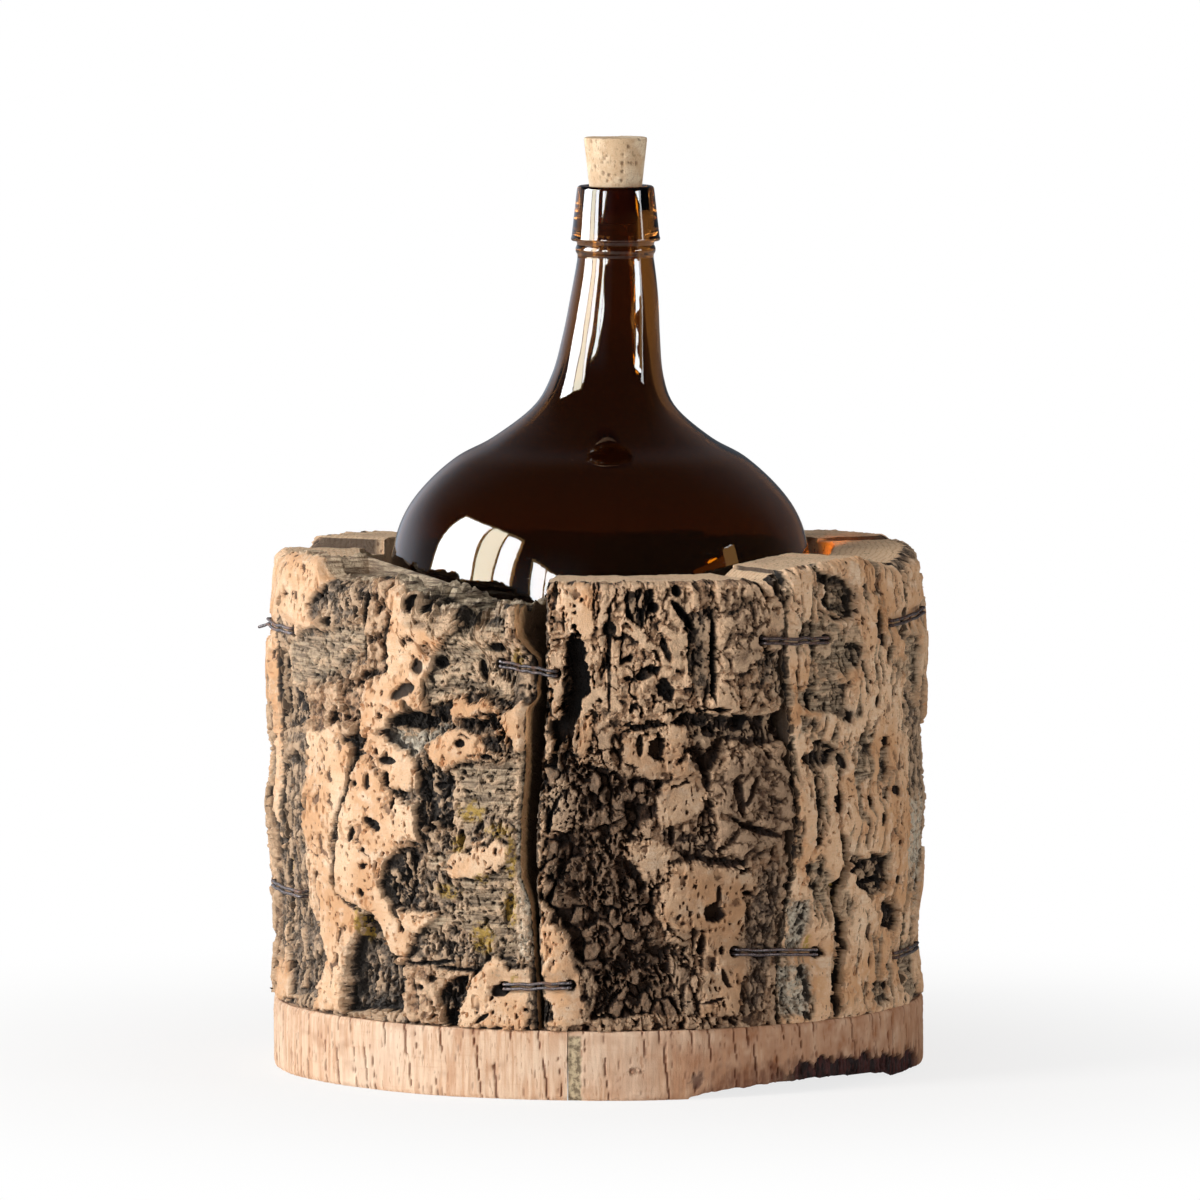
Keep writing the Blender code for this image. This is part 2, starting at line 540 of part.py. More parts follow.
def make_panel(index, panel, stitches, material):
    left = SEAMS[index]
    right = SEAMS[(index + 1) % len(SEAMS)]
    turn = 360 if index == len(SEAMS) - 1 else 0
    panel["start"] = left["azimuth"]
    panel["end"] = right["azimuth"] + turn
    columns = panel["columns"]
    shape = bmesh.new()
    outer = []
    inner = []
    for column in range(columns + 1):
        share = column / columns
        rim = RIM_HEIGHT + read_table(panel["rim"], share)
        rows = [a + (b - a) * share for a, b in zip(
            row_heights(stitches, index, rim), row_heights(stitches, (index + 1) % len(SEAMS), rim))]

        def place(radius, height, share=share):
            half_gap = math.degrees(SEAM_GAP / 2 / radius)
            start = seam_azimuth(left, height) + half_gap
            end = seam_azimuth(right, height) + turn - half_gap - slanted_back(panel, radius, height)
            return start + (end - start) * share

        outer_points = []
        for height in rows:
            azimuth = place(CASING_RADIUS, height)
            radius = bark_radius(panel, share, azimuth, height, rim, stitches)
            outer_points.append(shape.verts.new(around(azimuth, radius, height)))
        outer.append(outer_points)
        if 0 < column < columns:
            rows = [rows[row] for row in INNER_ROWS]
        inner.append([shape.verts.new(around(place(BORE_RADIUS, z), BORE_RADIUS, z)) for z in rows])
    for column in range(columns):
        this, following = outer[column], outer[column + 1]
        for row in range(len(this) - 1):
            shape.faces.new((this[row], following[row], following[row + 1], this[row + 1]))
        back, back_following = inner[column], inner[column + 1]
        add_inner_strip(shape, back, back_following, INNER_ROWS)
        shape.faces.new((this[-1], following[-1], back_following[-1], back[-1]))
        shape.faces.new((following[0], this[0], back[0], back_following[0]))
    for front, back in ((outer[0], inner[0]), (outer[-1], inner[-1])):
        # Both sides of a seam are split along the same diagonals, so that they nest
        for row in range(len(front) - 1):
            shape.faces.new((front[row], front[row + 1], back[row + 1]))
            shape.faces.new((front[row], back[row + 1], back[row]))
    bmesh.ops.triangulate(shape, faces=shape.faces[:])
    bmesh.ops.recalc_face_normals(shape, faces=shape.faces[:])
    thing = object_from_bmesh(panel["name"], shape, material)

    cutter = bmesh.new()
    beyond = WALL_THICKNESS / 3
    for stitch in stitches:
        holes = []
        if stitch["seam"] == index:
            holes.append((stitch["right"], stitch["height"] + stitch["rise"] / 2))
        if stitch["seam"] == (index + 1) % len(SEAMS):
            holes.append((stitch["left"], stitch["height"] - stitch["rise"] / 2))
        for azimuth, height in holes:
            start = around(azimuth, BORE_RADIUS - beyond, height)
            end = around(azimuth, CASING_RADIUS + beyond, height)
            add_round_bar(cutter, start, end, HOLE_DIAMETER, 8)
    peg = peg_place(panel)
    top = Vector((peg.x, peg.y, FOOT_HEIGHT + PEG_GRIP + TOUCH_GAP))
    bottom = Vector((peg.x, peg.y, BOARD_TOP - PEG_GRIP / 2))
    add_round_bar(cutter, bottom, top, PEG_DIAMETER + 2 * TOUCH_GAP, PEG_SIDES)
    cut_away(thing, cutter)


# Wire stitches

def stitch_points(stitch):
    # Two turns of wire through two holes, with each end laid along the inner face
    span = math.radians(stitch["right"] - stitch["left"]) * CASING_RADIUS
    outside = barrel_radius(stitch["height"]) + WIRE_GAP + WIRE_DIAMETER / 2
    inside = BORE_RADIUS - WIRE_GAP - WIRE_DIAMETER / 2
    bend = WIRE_BEND / span

    def point(share, radius, level):
        azimuth = stitch["left"] + (stitch["right"] - stitch["left"]) * share
        height = stitch["height"] + stitch["rise"] * (share - 0.5) + level * WIRE_PITCH
        return around(azimuth, radius, height)

    def strand(radius, start, end, start_level, end_level, count):
        steps = [step / (count - 1) for step in range(count)]
        return [point(start + (end - start) * t, radius, start_level + (end_level - start_level) * t) for t in steps]

    def through(share, level, inwards):
        radii = [inside + WIRE_BEND, outside - WIRE_BEND]
        return [point(share, radius, level) for radius in (reversed(radii) if inwards else radii)]

    near, far = bend, 1 - bend
    first, second, third, last = TURN_LEVELS
    if stitch["tail"]:
        points = [
            point(-WIRE_TAIL / span, outside + WIRE_TAIL * TAIL_SHARES[0], TAIL_LEVELS[0]),
            point(-WIRE_TAIL / span / 2, outside + WIRE_TAIL * TAIL_SHARES[1], TAIL_LEVELS[1]),
        ]
    else:
        points = strand(inside, TURN_START, near, first, second, 3) + through(0, second, False)
    points += strand(outside, near, far, second, second, 5) + through(1, second, True)
    points += strand(inside, far, near, second, third, 3) + through(0, third, False)
    points += strand(outside, near, far, third, third, 5) + through(1, third, True)
    points += strand(inside, far, TURN_END, third, last, 3)
    return points


def least_gap(points):
    # Smallest clear distance between parts of a wire that are not neighbours along it
    step = WIRE_DIAMETER / 2
    samples = []
    length = 0.0
    for start, end in zip(points, points[1:]):
        run = (end - start).length
        count = max(int(run / step), 1)
        samples += [(length + run * i / count, start.lerp(end, i / count)) for i in range(count)]
        length += run
    beside = 4 * WIRE_DIAMETER
    gaps = [
        (place - other).length
        for index, (way, place) in enumerate(samples)
        for other_way, other in samples[index + 1:]
        if other_way - way > beside]
    return min(gaps) - WIRE_DIAMETER


def make_stitch(stitch, material):
    points = stitch_points(stitch)
    curve = bpy.data.curves.new(stitch["name"], "CURVE")
    curve.dimensions = "3D"
    curve.bevel_depth = WIRE_DIAMETER / 2
    curve.bevel_resolution = 1
    curve.use_fill_caps = True
    spline = curve.splines.new("POLY")
    spline.points.add(len(points) - 1)
    for slot, place in zip(spline.points, points):
        slot.co = (*place, 1.0)
    add_object(stitch["name"], curve, material)
    return least_gap(points)


# Base

def board_radius(azimuth):
    angle = math.radians(azimuth)
    return BOARD_RADIUS + BOARD_WAVE * (0.6 * math.sin(5 * angle + 1.0) + 0.4 * math.sin(9 * angle))


def peg_place(panel):
    return around((panel["start"] + panel["end"]) / 2, PEG_CIRCLE, 0)


def make_board(name, side, material):
    # One half of the round base; side is -1 for the left board and 1 for the right
    edge_x = BOARD_SEAM_X + side * BOARD_SEAM_GAP / 2
    rim = [around(a, board_radius(a), 0) for a in (360 * step / BOARD_POINTS for step in range(BOARD_POINTS))]
    outline = []
    for this, following in zip(rim, rim[1:] + rim[:1]):
        if side * (this.x - edge_x) > 0:
            outline.append(this)
        if (this.x - edge_x) * (following.x - edge_x) < 0:
            outline.append(this.lerp(following, (edge_x - this.x) / (following.x - this.x)))
    shape = bmesh.new()
    bottom = shape.faces.new([shape.verts.new(place) for place in outline])
    top = bmesh.ops.extrude_face_region(shape, geom=[bottom])
    moved = [part for part in top["geom"] if isinstance(part, bmesh.types.BMVert)]
    bmesh.ops.translate(shape, verts=moved, vec=(0, 0, BOARD_THICKNESS))
    bmesh.ops.recalc_face_normals(shape, faces=shape.faces[:])
    board = object_from_bmesh(name, shape, material)

    cutter = bmesh.new()
    for panel in PANELS:
        place = peg_place(panel)
        if side * (place.x - edge_x) > 0:
            low = Vector((place.x, place.y, -PEG_GRIP / 2))
            high = Vector((place.x, place.y, BOARD_TOP + PEG_GRIP / 2))
            add_round_bar(cutter, low, high, PEG_DIAMETER + 2 * TOUCH_GAP, PEG_SIDES)
    half = DOWEL_LENGTH / 2
    for y in (-DOWEL_SPACING / 2, DOWEL_SPACING / 2):
        start = Vector((BOARD_SEAM_X - side * half, y, BOARD_THICKNESS / 2))
        end = Vector((BOARD_SEAM_X + side * (half + TOUCH_GAP), y, BOARD_THICKNESS / 2))
        add_round_bar(cutter, start, end, DOWEL_DIAMETER + 2 * TOUCH_GAP, PEG_SIDES)
    cut_away(board, cutter)
    if side > 0:
        cut_away(board, decay_shape())


def decay_shape():
    # Ragged wedge that rots away the lower edge of the right board
    shape = bmesh.new()
    below = DECAY_HEIGHT
    rings = []
    for step in range(DECAY_STEPS + 1):
        share = step / DECAY_STEPS
        azimuth = DECAY_START + (DECAY_END - DECAY_START) * share
        ragged = 0.75 + 0.25 * math.sin(11 * share * math.pi + 0.7)
        height = DECAY_HEIGHT * math.sin(math.pi * share) ** 0.5 * ragged + TOUCH_GAP
        beyond = BOARD_RADIUS + BOARD_LEDGE * 4
        start = BOARD_RADIUS - DECAY_DEPTH * (0.4 + 0.6 * math.sin(math.pi * share) * ragged)
        rings.append([shape.verts.new(around(azimuth, radius, z)) for radius, z in (
            (start, -below), (beyond, -below), (beyond, height), (start, 0.0002))])
    for this, following in zip(rings, rings[1:]):
        for corner in range(4):
            after = (corner + 1) % 4
            shape.faces.new((this[corner], this[after], following[after], following[corner]))
    shape.faces.new(reversed(rings[0]))
    shape.faces.new(rings[-1])
    bmesh.ops.triangulate(shape, faces=shape.faces[:])
    bmesh.ops.recalc_face_normals(shape, faces=shape.faces[:])
    return shape


def make_bar(name, start, end, diameter, material):
    shape = bmesh.new()
    add_round_bar(shape, start, end, diameter, PEG_SIDES)
    object_from_bmesh(name, shape, material, smooth_angle=40)


# Bottle

def offset_inwards(outline, wall):
    # The outline moved inwards by the wall, which is given for each of its points
    result = []
    for index, (radius, height) in enumerate(outline):
        before = outline[max(index - 1, 0)]
        after = outline[min(index + 1, len(outline) - 1)]
        run = Vector((after[0] - before[0], after[1] - before[1])).normalized()
        result.append((radius + run.y * wall[index], height - run.x * wall[index]))
    return result


def bottle_outlines():
    # Outer outline from the lip down to the underside, and inner one back up again
    shoulder = [
        (NECK_RADIUS + (BOTTLE_RADIUS - NECK_RADIUS) * out, NECK_TOP - (NECK_TOP - BELLY_TOP) * down)
        for out, down in curve_through(SHOULDER_SHAPE, SHOULDER_RINGS)]
    body = [
        (BOTTLE_RADIUS - (BOTTLE_RADIUS - HEEL_RADIUS) * out, BELLY_TOP - BELLY_HEIGHT * down)
        for out, down in curve_through(BODY_SHAPE, BODY_RINGS)]
    collar_foot = LIP_HEIGHT - COLLAR_HEIGHT
    ring_top = collar_foot - RING_GROOVE
    ring_foot = ring_top - RING_HEIGHT
    edge = (RING_RADIUS - NECK_RADIUS) / 2
    finish = [
        (COLLAR_TOP_RADIUS - LIP_ROUNDING, LIP_HEIGHT),
        (COLLAR_TOP_RADIUS - LIP_ROUNDING * 0.3, LIP_HEIGHT - LIP_ROUNDING * 0.3),
        (COLLAR_TOP_RADIUS, LIP_HEIGHT - LIP_ROUNDING),
        (COLLAR_FOOT_RADIUS - edge / 2, collar_foot + 3 * edge),
        (COLLAR_FOOT_RADIUS, collar_foot + 2 * edge),
        (COLLAR_FOOT_RADIUS - edge, collar_foot),
        (NECK_RADIUS, ring_top),
        (RING_RADIUS, ring_top - edge),
        (RING_RADIUS, ring_foot + edge),
        (NECK_RADIUS, ring_foot - edge),
    ]
    push_up = [
        (HEEL_RADIUS * 0.86, BOTTLE_FOOT + PUSH_UP * 0.10),
        (HEEL_RADIUS * 0.60, BOTTLE_FOOT + PUSH_UP * 0.60),
        (HEEL_RADIUS * 0.30, BOTTLE_FOOT + PUSH_UP * 0.90),
        (0.0, BOTTLE_FOOT + PUSH_UP),
    ]
    outer = finish + shoulder + body[1:] + push_up

    bore_foot = LIP_HEIGHT - STOPPER_LENGTH + STOPPER_PROUD - TOUCH_GAP
    bore = [
        (stopper_radius(LIP_HEIGHT) + TOUCH_GAP + LIP_ROUNDING / 2, LIP_HEIGHT),
        (stopper_radius(LIP_HEIGHT) + TOUCH_GAP, LIP_HEIGHT - LIP_ROUNDING / 2),
        (stopper_radius(bore_foot) + TOUCH_GAP, bore_foot),
    ]
    walls = [
        NECK_WALL + (BODY_WALL - NECK_WALL) * smooth_step(step / SHOULDER_RINGS * 2)
        for step in range(SHOULDER_RINGS + 1)]
    walls += [BODY_WALL] * BODY_RINGS
    inner_wall = offset_inwards(shoulder + body[1:], walls)[::2]
    floor = [
        (HEEL_RADIUS * 0.90, BOTTLE_FOOT + BODY_WALL * 1.5),
        (HEEL_RADIUS * 0.60, BOTTLE_FOOT + PUSH_UP * 0.60 + BODY_WALL),
        (0.0, BOTTLE_FOOT + PUSH_UP + BODY_WALL),
    ]
    inner = bore + inner_wall[:-1] + floor
    return outer, inner


def stopper_radius(height):
    top = LIP_HEIGHT + STOPPER_PROUD
    return STOPPER_TOP_RADIUS - STOPPER_TAPER * (top - height)


def turned_shape(outline, sides):
    # Solid of revolution about Z from an outline of (radius, height) points
    shape = bmesh.new()
    verts = [shape.verts.new((radius, 0, height)) for radius, height in outline]
    edges = [shape.edges.new(pair) for pair in zip(verts, verts[1:])]
    bmesh.ops.spin(
        shape, geom=verts + edges, axis=(0, 0, 1), cent=(0, 0, 0), angle=2 * math.pi, steps=sides,
        use_merge=True)
    bmesh.ops.remove_doubles(shape, verts=shape.verts[:], dist=1e-6)
    bmesh.ops.recalc_face_normals(shape, faces=shape.faces[:])
    return shape


def make_bottle(material):
    outer, inner = bottle_outlines()
    shape = turned_shape(list(reversed(inner)) + outer, BOTTLE_SIDES)
    shift_start = BELLY_TOP + (NECK_TOP - BELLY_TOP) * 0.35
    for vert in shape.verts:
        lean = smooth_step((vert.co.z - shift_start) / (NECK_TOP - shift_start))
        vert.co.x += NECK_SHIFT * lean
    bottle = object_from_bmesh("glass_bottle", shape, material, smooth_angle=50)
    bottle.location = (BOTTLE_X, 0, 0)


def make_stopper(material):
    top = LIP_HEIGHT + STOPPER_PROUD
    foot = top - STOPPER_LENGTH
    outline = [
        (0.0, foot),
        (stopper_radius(foot) - STOPPER_EDGE, foot),
        (stopper_radius(foot + STOPPER_EDGE), foot + STOPPER_EDGE),
        (stopper_radius(top - STOPPER_EDGE), top - STOPPER_EDGE),
        (STOPPER_TOP_RADIUS - STOPPER_EDGE, top),
        (0.0, top),
    ]
    stopper = object_from_bmesh("cork_stopper", turned_shape(outline, STOPPER_SIDES), material, smooth_angle=40)
    stopper.location = (MOUTH_X, 0, 0)


def main():
    for thing in list(bpy.data.objects):
        bpy.data.objects.remove(thing)
    bark = make_material("cork_bark", (0.52, 0.31, 0.17), 0.9)
    cork = make_material("cork_board", (0.62, 0.37, 0.21), 0.85)
    stopper_cork = make_material("stopper_cork", (0.71, 0.50, 0.31), 0.8)
    glass = make_material("amber_glass", (0.16, 0.04, 0.008), 0.05)
    iron = make_material("iron_wire", (0.22, 0.20, 0.19), 0.45, 1.0)
    wood = make_material("peg_wood", (0.40, 0.25, 0.13), 0.7)

    stitches = place_stitches()
    for index, panel in enumerate(PANELS):
        make_panel(index, panel, stitches, bark)
    gaps = [make_stitch(stitch, iron) for stitch in stitches]
    print(f"least gap of a wire to itself: {min(gaps) * 1000:.2f} mm")

    make_board("base_board_left", -1, cork)
    make_board("base_board_right", 1, cork)
    for number, panel in enumerate(PANELS, 1):
        place = peg_place(panel)
        low = Vector((place.x, place.y, PEG_RECESS))
        high = Vector((place.x, place.y, FOOT_HEIGHT + PEG_GRIP))
        make_bar(f"foot_peg_{number}", low, high, PEG_DIAMETER, wood)
    for name, y in (("board_dowel_front", -DOWEL_SPACING / 2), ("board_dowel_back", DOWEL_SPACING / 2)):
        start = Vector((BOARD_SEAM_X - DOWEL_LENGTH / 2, y, BOARD_THICKNESS / 2))
        end = Vector((BOARD_SEAM_X + DOWEL_LENGTH / 2, y, BOARD_THICKNESS / 2))
        make_bar(name, start, end, DOWEL_DIAMETER, wood)

    make_bottle(glass)
    make_stopper(stopper_cork)


main()
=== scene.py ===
import math

import bpy
import numpy as np
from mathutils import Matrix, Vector


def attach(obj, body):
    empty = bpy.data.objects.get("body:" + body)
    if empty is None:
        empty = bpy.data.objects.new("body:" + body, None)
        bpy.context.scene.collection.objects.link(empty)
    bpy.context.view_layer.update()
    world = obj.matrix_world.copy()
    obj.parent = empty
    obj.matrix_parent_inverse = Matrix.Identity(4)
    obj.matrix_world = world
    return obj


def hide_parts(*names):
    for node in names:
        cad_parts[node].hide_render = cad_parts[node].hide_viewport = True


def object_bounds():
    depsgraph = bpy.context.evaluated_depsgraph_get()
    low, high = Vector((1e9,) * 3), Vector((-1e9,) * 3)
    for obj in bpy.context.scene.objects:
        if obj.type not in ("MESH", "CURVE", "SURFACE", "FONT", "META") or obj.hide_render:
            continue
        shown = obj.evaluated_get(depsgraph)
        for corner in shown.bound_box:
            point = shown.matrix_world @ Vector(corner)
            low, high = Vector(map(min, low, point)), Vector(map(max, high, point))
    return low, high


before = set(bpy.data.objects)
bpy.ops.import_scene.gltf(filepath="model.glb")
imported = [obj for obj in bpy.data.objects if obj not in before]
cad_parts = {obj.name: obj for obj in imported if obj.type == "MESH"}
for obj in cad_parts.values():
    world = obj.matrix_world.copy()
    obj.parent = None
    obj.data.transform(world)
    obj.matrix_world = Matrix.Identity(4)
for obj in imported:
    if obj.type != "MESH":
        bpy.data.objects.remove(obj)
cadBox = [[float(v) for v in corner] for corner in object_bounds()]
print("cork-covered demijohn: frame loaded")


# small helpers

def tone(red, green, blue):
    # a colour read off a screen, 0 to 255, as the linear colour that the shader wants
    def straight(v):
        v = v / 255
        return v / 12.92 if v <= 0.04045 else ((v + 0.055) / 1.055) ** 2.4
    return (straight(red), straight(green), straight(blue), 1.0)


def smooth(v):
    v = np.clip(v, 0, 1)
    return v * v * (3 - 2 * v)


def around(azimuth, radius, height):
    angle = math.radians(azimuth)
    return Vector((radius * math.sin(angle), -radius * math.cos(angle), height))


def deselectAll():
    if bpy.context.object and bpy.context.object.mode != "OBJECT":
        bpy.ops.object.mode_set(mode="OBJECT")
    bpy.ops.object.select_all(action="DESELECT")


def startPiece(name):
    piece = bpy.context.object
    piece.name = name
    piece.data.name = name
    return piece


def selectOnly(piece):
    deselectAll()
    piece.select_set(True)
    bpy.context.view_layer.objects.active = piece


def placeInMesh(piece):
    # puts the object's place into its mesh, so that the object itself stays at the origin
    selectOnly(piece)
    bpy.ops.object.transform_apply(location=True, rotation=True, scale=True)


def finishPiece(piece, material, angle):
    # smooth shading except over edges sharper than the angle in degrees, and one material
    selectOnly(piece)
    bpy.ops.object.shade_smooth_by_angle(angle=math.radians(angle))
    piece.data.materials.clear()
    piece.data.materials.append(material)
    piece.data.calc_loop_triangles()
    print(f"{piece.name}: {len(piece.data.loop_triangles)} triangles")


def insideBox(points):
    # points moved sideways into the frame's own box where they stand out of it
    for axis in (0, 1):
        points[:, axis] = np.clip(points[:, axis], cadBox[0][axis], cadBox[1][axis])
    return points


def pickEdges(piece, mask):
    bpy.ops.object.mode_set(mode="OBJECT")
    mesh = piece.data
    mesh.polygons.foreach_set("select", np.zeros(len(mesh.polygons), bool))
    ends = np.zeros(len(mesh.edges) * 2, np.int32)
    mesh.edges.foreach_get("vertices", ends)
    chosen = np.zeros(len(mesh.vertices), bool)
    chosen[ends.reshape(-1, 2)[mask].ravel()] = True
    mesh.vertices.foreach_set("select", chosen)
    mesh.edges.foreach_set("select", mask)
    bpy.ops.object.mode_set(mode="EDIT")


def readPoints(piece):
    points = np.zeros(len(piece.data.vertices) * 3)
    piece.data.vertices.foreach_get("co", points)
    return points.reshape(-1, 3)


def writePoints(piece, points):
    piece.data.vertices.foreach_set("co", points.ravel())
    piece.data.update()


def readEdges(piece):
    ends = np.zeros(len(piece.data.edges) * 2, np.int32)
    piece.data.edges.foreach_get("vertices", ends)
    return ends.reshape(-1, 2)


def keepMask(piece, name, values):
    layer = piece.data.attributes.new(name, "FLOAT", "POINT")
    layer.data.foreach_set("value", np.ascontiguousarray(values, np.float32))


# noise that the relief of the cork is worked out from

def scatter(ix, iy, seed):
    # one steady random number, 0 to 1, for each whole-number place
    h = (ix * 374761393 + iy * 668265263 + seed * 974634777) & 0xFFFFFFFF
    h = ((h ^ (h >> 13)) * 1274126177) & 0xFFFFFFFF
    h = ((h ^ (h >> 15)) * 2246822519) & 0xFFFFFFFF
    return (h ^ (h >> 16)) / 4294967295


def grain(x, y, seed):
    ix, iy = np.floor(x).astype(np.int64), np.floor(y).astype(np.int64)
    fx, fy = x - ix, y - iy
    ux, uy = fx ** 3 * (fx * (fx * 6 - 15) + 10), fy ** 3 * (fy * (fy * 6 - 15) + 10)

    def corner(dx, dy):
        angle = scatter(ix + dx, iy + dy, seed) * 2 * math.pi
        return np.cos(angle) * (fx - dx) + np.sin(angle) * (fy - dy)

    low = corner(0, 0) * (1 - ux) + corner(1, 0) * ux
    high = corner(0, 1) * (1 - ux) + corner(1, 1) * ux
    return (low * (1 - uy) + high * uy) * 1.5


def cloud(x, y, seed, octaves=3, fade=0.5):
    total, size, most = 0, 1.0, 0.0
    for step in range(octaves):
        total = total + size * grain(x * 2.03 ** step, y * 2.03 ** step, seed + 17 * step)
        most += size
        size *= fade
    return total / most * 1.35


def veins(x, y, seed, width, octaves=3, fade=0.5):
    # one along the thin lines on which the noise is nought, and nought beyond their width
    return smooth(1 - np.abs(cloud(x, y, seed, octaves, fade)) / width)


def cells(x, y, seed):
    # distance to the nearest and second nearest scattered point, and the nearest one's number and offset
    ix, iy = np.floor(x).astype(np.int64), np.floor(y).astype(np.int64)
    near = np.full(x.shape, 9.0)
    second = np.full(x.shape, 9.0)
    number = np.zeros(x.shape)
    offX, offY = np.zeros(x.shape), np.zeros(x.shape)
    for dx in (-1, 0, 1):
        for dy in (-1, 0, 1):
            px = ix + dx + 0.15 + 0.7 * scatter(ix + dx, iy + dy, seed)
            py = iy + dy + 0.15 + 0.7 * scatter(ix + dx, iy + dy, seed + 1)
            d = np.hypot(x - px, y - py)
            closer = d < near
            second = np.where(closer, near, np.minimum(second, d))
            number = np.where(closer, scatter(ix + dx, iy + dy, seed + 2), number)
            offX, offY = np.where(closer, x - px, offX), np.where(closer, y - py, offY)
            near = np.minimum(near, d)
    return near, second, number, offX, offY


def blurred(field, width):
    # soft average of a grid over a width given in grid steps
    pad = int(width * 3) + 2
    wide = np.pad(field, pad, mode="edge")
    fy = np.fft.fftfreq(wide.shape[0])[:, None]
    fx = np.fft.rfftfreq(wide.shape[1])[None, :]
    weight = np.exp(-2 * (math.pi * width) ** 2 * (fx ** 2 + fy ** 2))
    soft = np.fft.irfft2(np.fft.rfft2(wide) * weight, wide.shape)
    return soft[pad:-pad, pad:-pad]


# shader maths, written as expressions

class Value:
    def __init__(self, paint, socket):
        self.paint, self.socket = paint, socket

    def join(self, operation, first, second):
        return self.paint.node("ShaderNodeMath", {"operation": operation}, {0: first, 1: second})

    def __add__(self, other):
        return self.join("ADD", self, other)

    def __radd__(self, other):
        return self.join("ADD", other, self)

    def __rsub__(self, other):
        return self.join("SUBTRACT", other, self)

    def __mul__(self, other):
        return self.join("MULTIPLY", self, other)


class Paint:
    def __init__(self, name, forWorld=False):
        self.owner = (bpy.data.worlds if forWorld else bpy.data.materials).new(name)
        self.owner.use_nodes = True
        self.tree = self.owner.node_tree
        self.tree.nodes.clear()
        self.place = self.node("ShaderNodeTexCoord", output="Object")

    def node(self, kind, settings=None, sockets=None, output=0):
        made = self.tree.nodes.new(kind)
        for key, value in (settings or {}).items():
            setattr(made, key, value)
        for key, value in (sockets or {}).items():
            if isinstance(value, Value):
                self.tree.links.new(value.socket, made.inputs[key])
            else:
                made.inputs[key].default_value = value
        return Value(self, made.outputs[output]) if len(made.outputs) else None

    def mask(self, name):
        return self.node("ShaderNodeAttribute", {"attribute_name": name}, output="Fac")

    def stretched(self, x, y, z):
        return self.node("ShaderNodeMapping", sockets={"Vector": self.place, "Scale": (x, y, z)})

    def noise(self, scale, detail, rough, vector=None):
        return self.node("ShaderNodeTexNoise", sockets={
            "Vector": vector or self.place, "Scale": scale, "Detail": detail, "Roughness": rough})

    def span(self, value, low, high, start=0.0, end=1.0):
        # value from low to high, eased, as start to end
        return self.node("ShaderNodeMapRange", {"interpolation_type": "SMOOTHSTEP"}, {
            "Value": value, "From Min": low, "From Max": high, "To Min": start, "To Max": end})

    def mix(self, share, first, second):
        return self.node("ShaderNodeMix", {"data_type": "RGBA"}, {0: share, 6: first, 7: second}, output=2)

    def mixShader(self, share, first, second):
        return self.node("ShaderNodeMixShader", sockets={0: share, 1: first, 2: second})

    def coats(self, color, *layers):
        # colours laid over one another, each where its noise goes from low to high, at its share
        for noise, low, high, share, over in layers:
            color = self.mix(self.span(noise, low, high) * share, color, over)
        return color

    def seenStraight(self):
        # one for rays from the camera, also when they have come through glass
        camera = self.node("ShaderNodeLightPath", output="Is Camera Ray")
        through = self.node("ShaderNodeLightPath", output="Is Transmission Ray")
        return self.node("ShaderNodeMath", {"operation": "MAXIMUM"}, {0: camera, 1: through})

    def bump(self, height, depth, strength=1.0, before=None):
        sockets = {"Height": height, "Distance": depth, "Strength": strength}
        if before:
            sockets["Normal"] = before
        return self.node("ShaderNodeBump", sockets=sockets)

    def finish(self, **sockets):
        # Principled shader with its sockets, and the material's output
        named = {key.replace("_", " "): value for key, value in sockets.items()}
        shader = self.node("ShaderNodeBsdfPrincipled", sockets=named)
        self.node("ShaderNodeOutputMaterial", sockets={"Surface": shader})
        return self.owner


# camera, floor and lights

cameraSettings = {
    "place": (0.0017, -6.694, 0.845),
    "aim": (0.0017, 0.0, 0.259),
    "lens": 360.0,
}


def makeCamera():
    data = bpy.data.cameras.new("photoCamera")
    data.lens = cameraSettings["lens"]
    data.sensor_width = 36.0
    data.clip_end = 100.0
    camera = bpy.data.objects.new("photoCamera", data)
    bpy.context.scene.collection.objects.link(camera)
    camera.location = cameraSettings["place"]
    look = Vector(cameraSettings["aim"]) - camera.location
    camera.rotation_euler = look.to_track_quat("-Z", "Y").to_euler()
    bpy.context.scene.camera = camera


makeCamera()

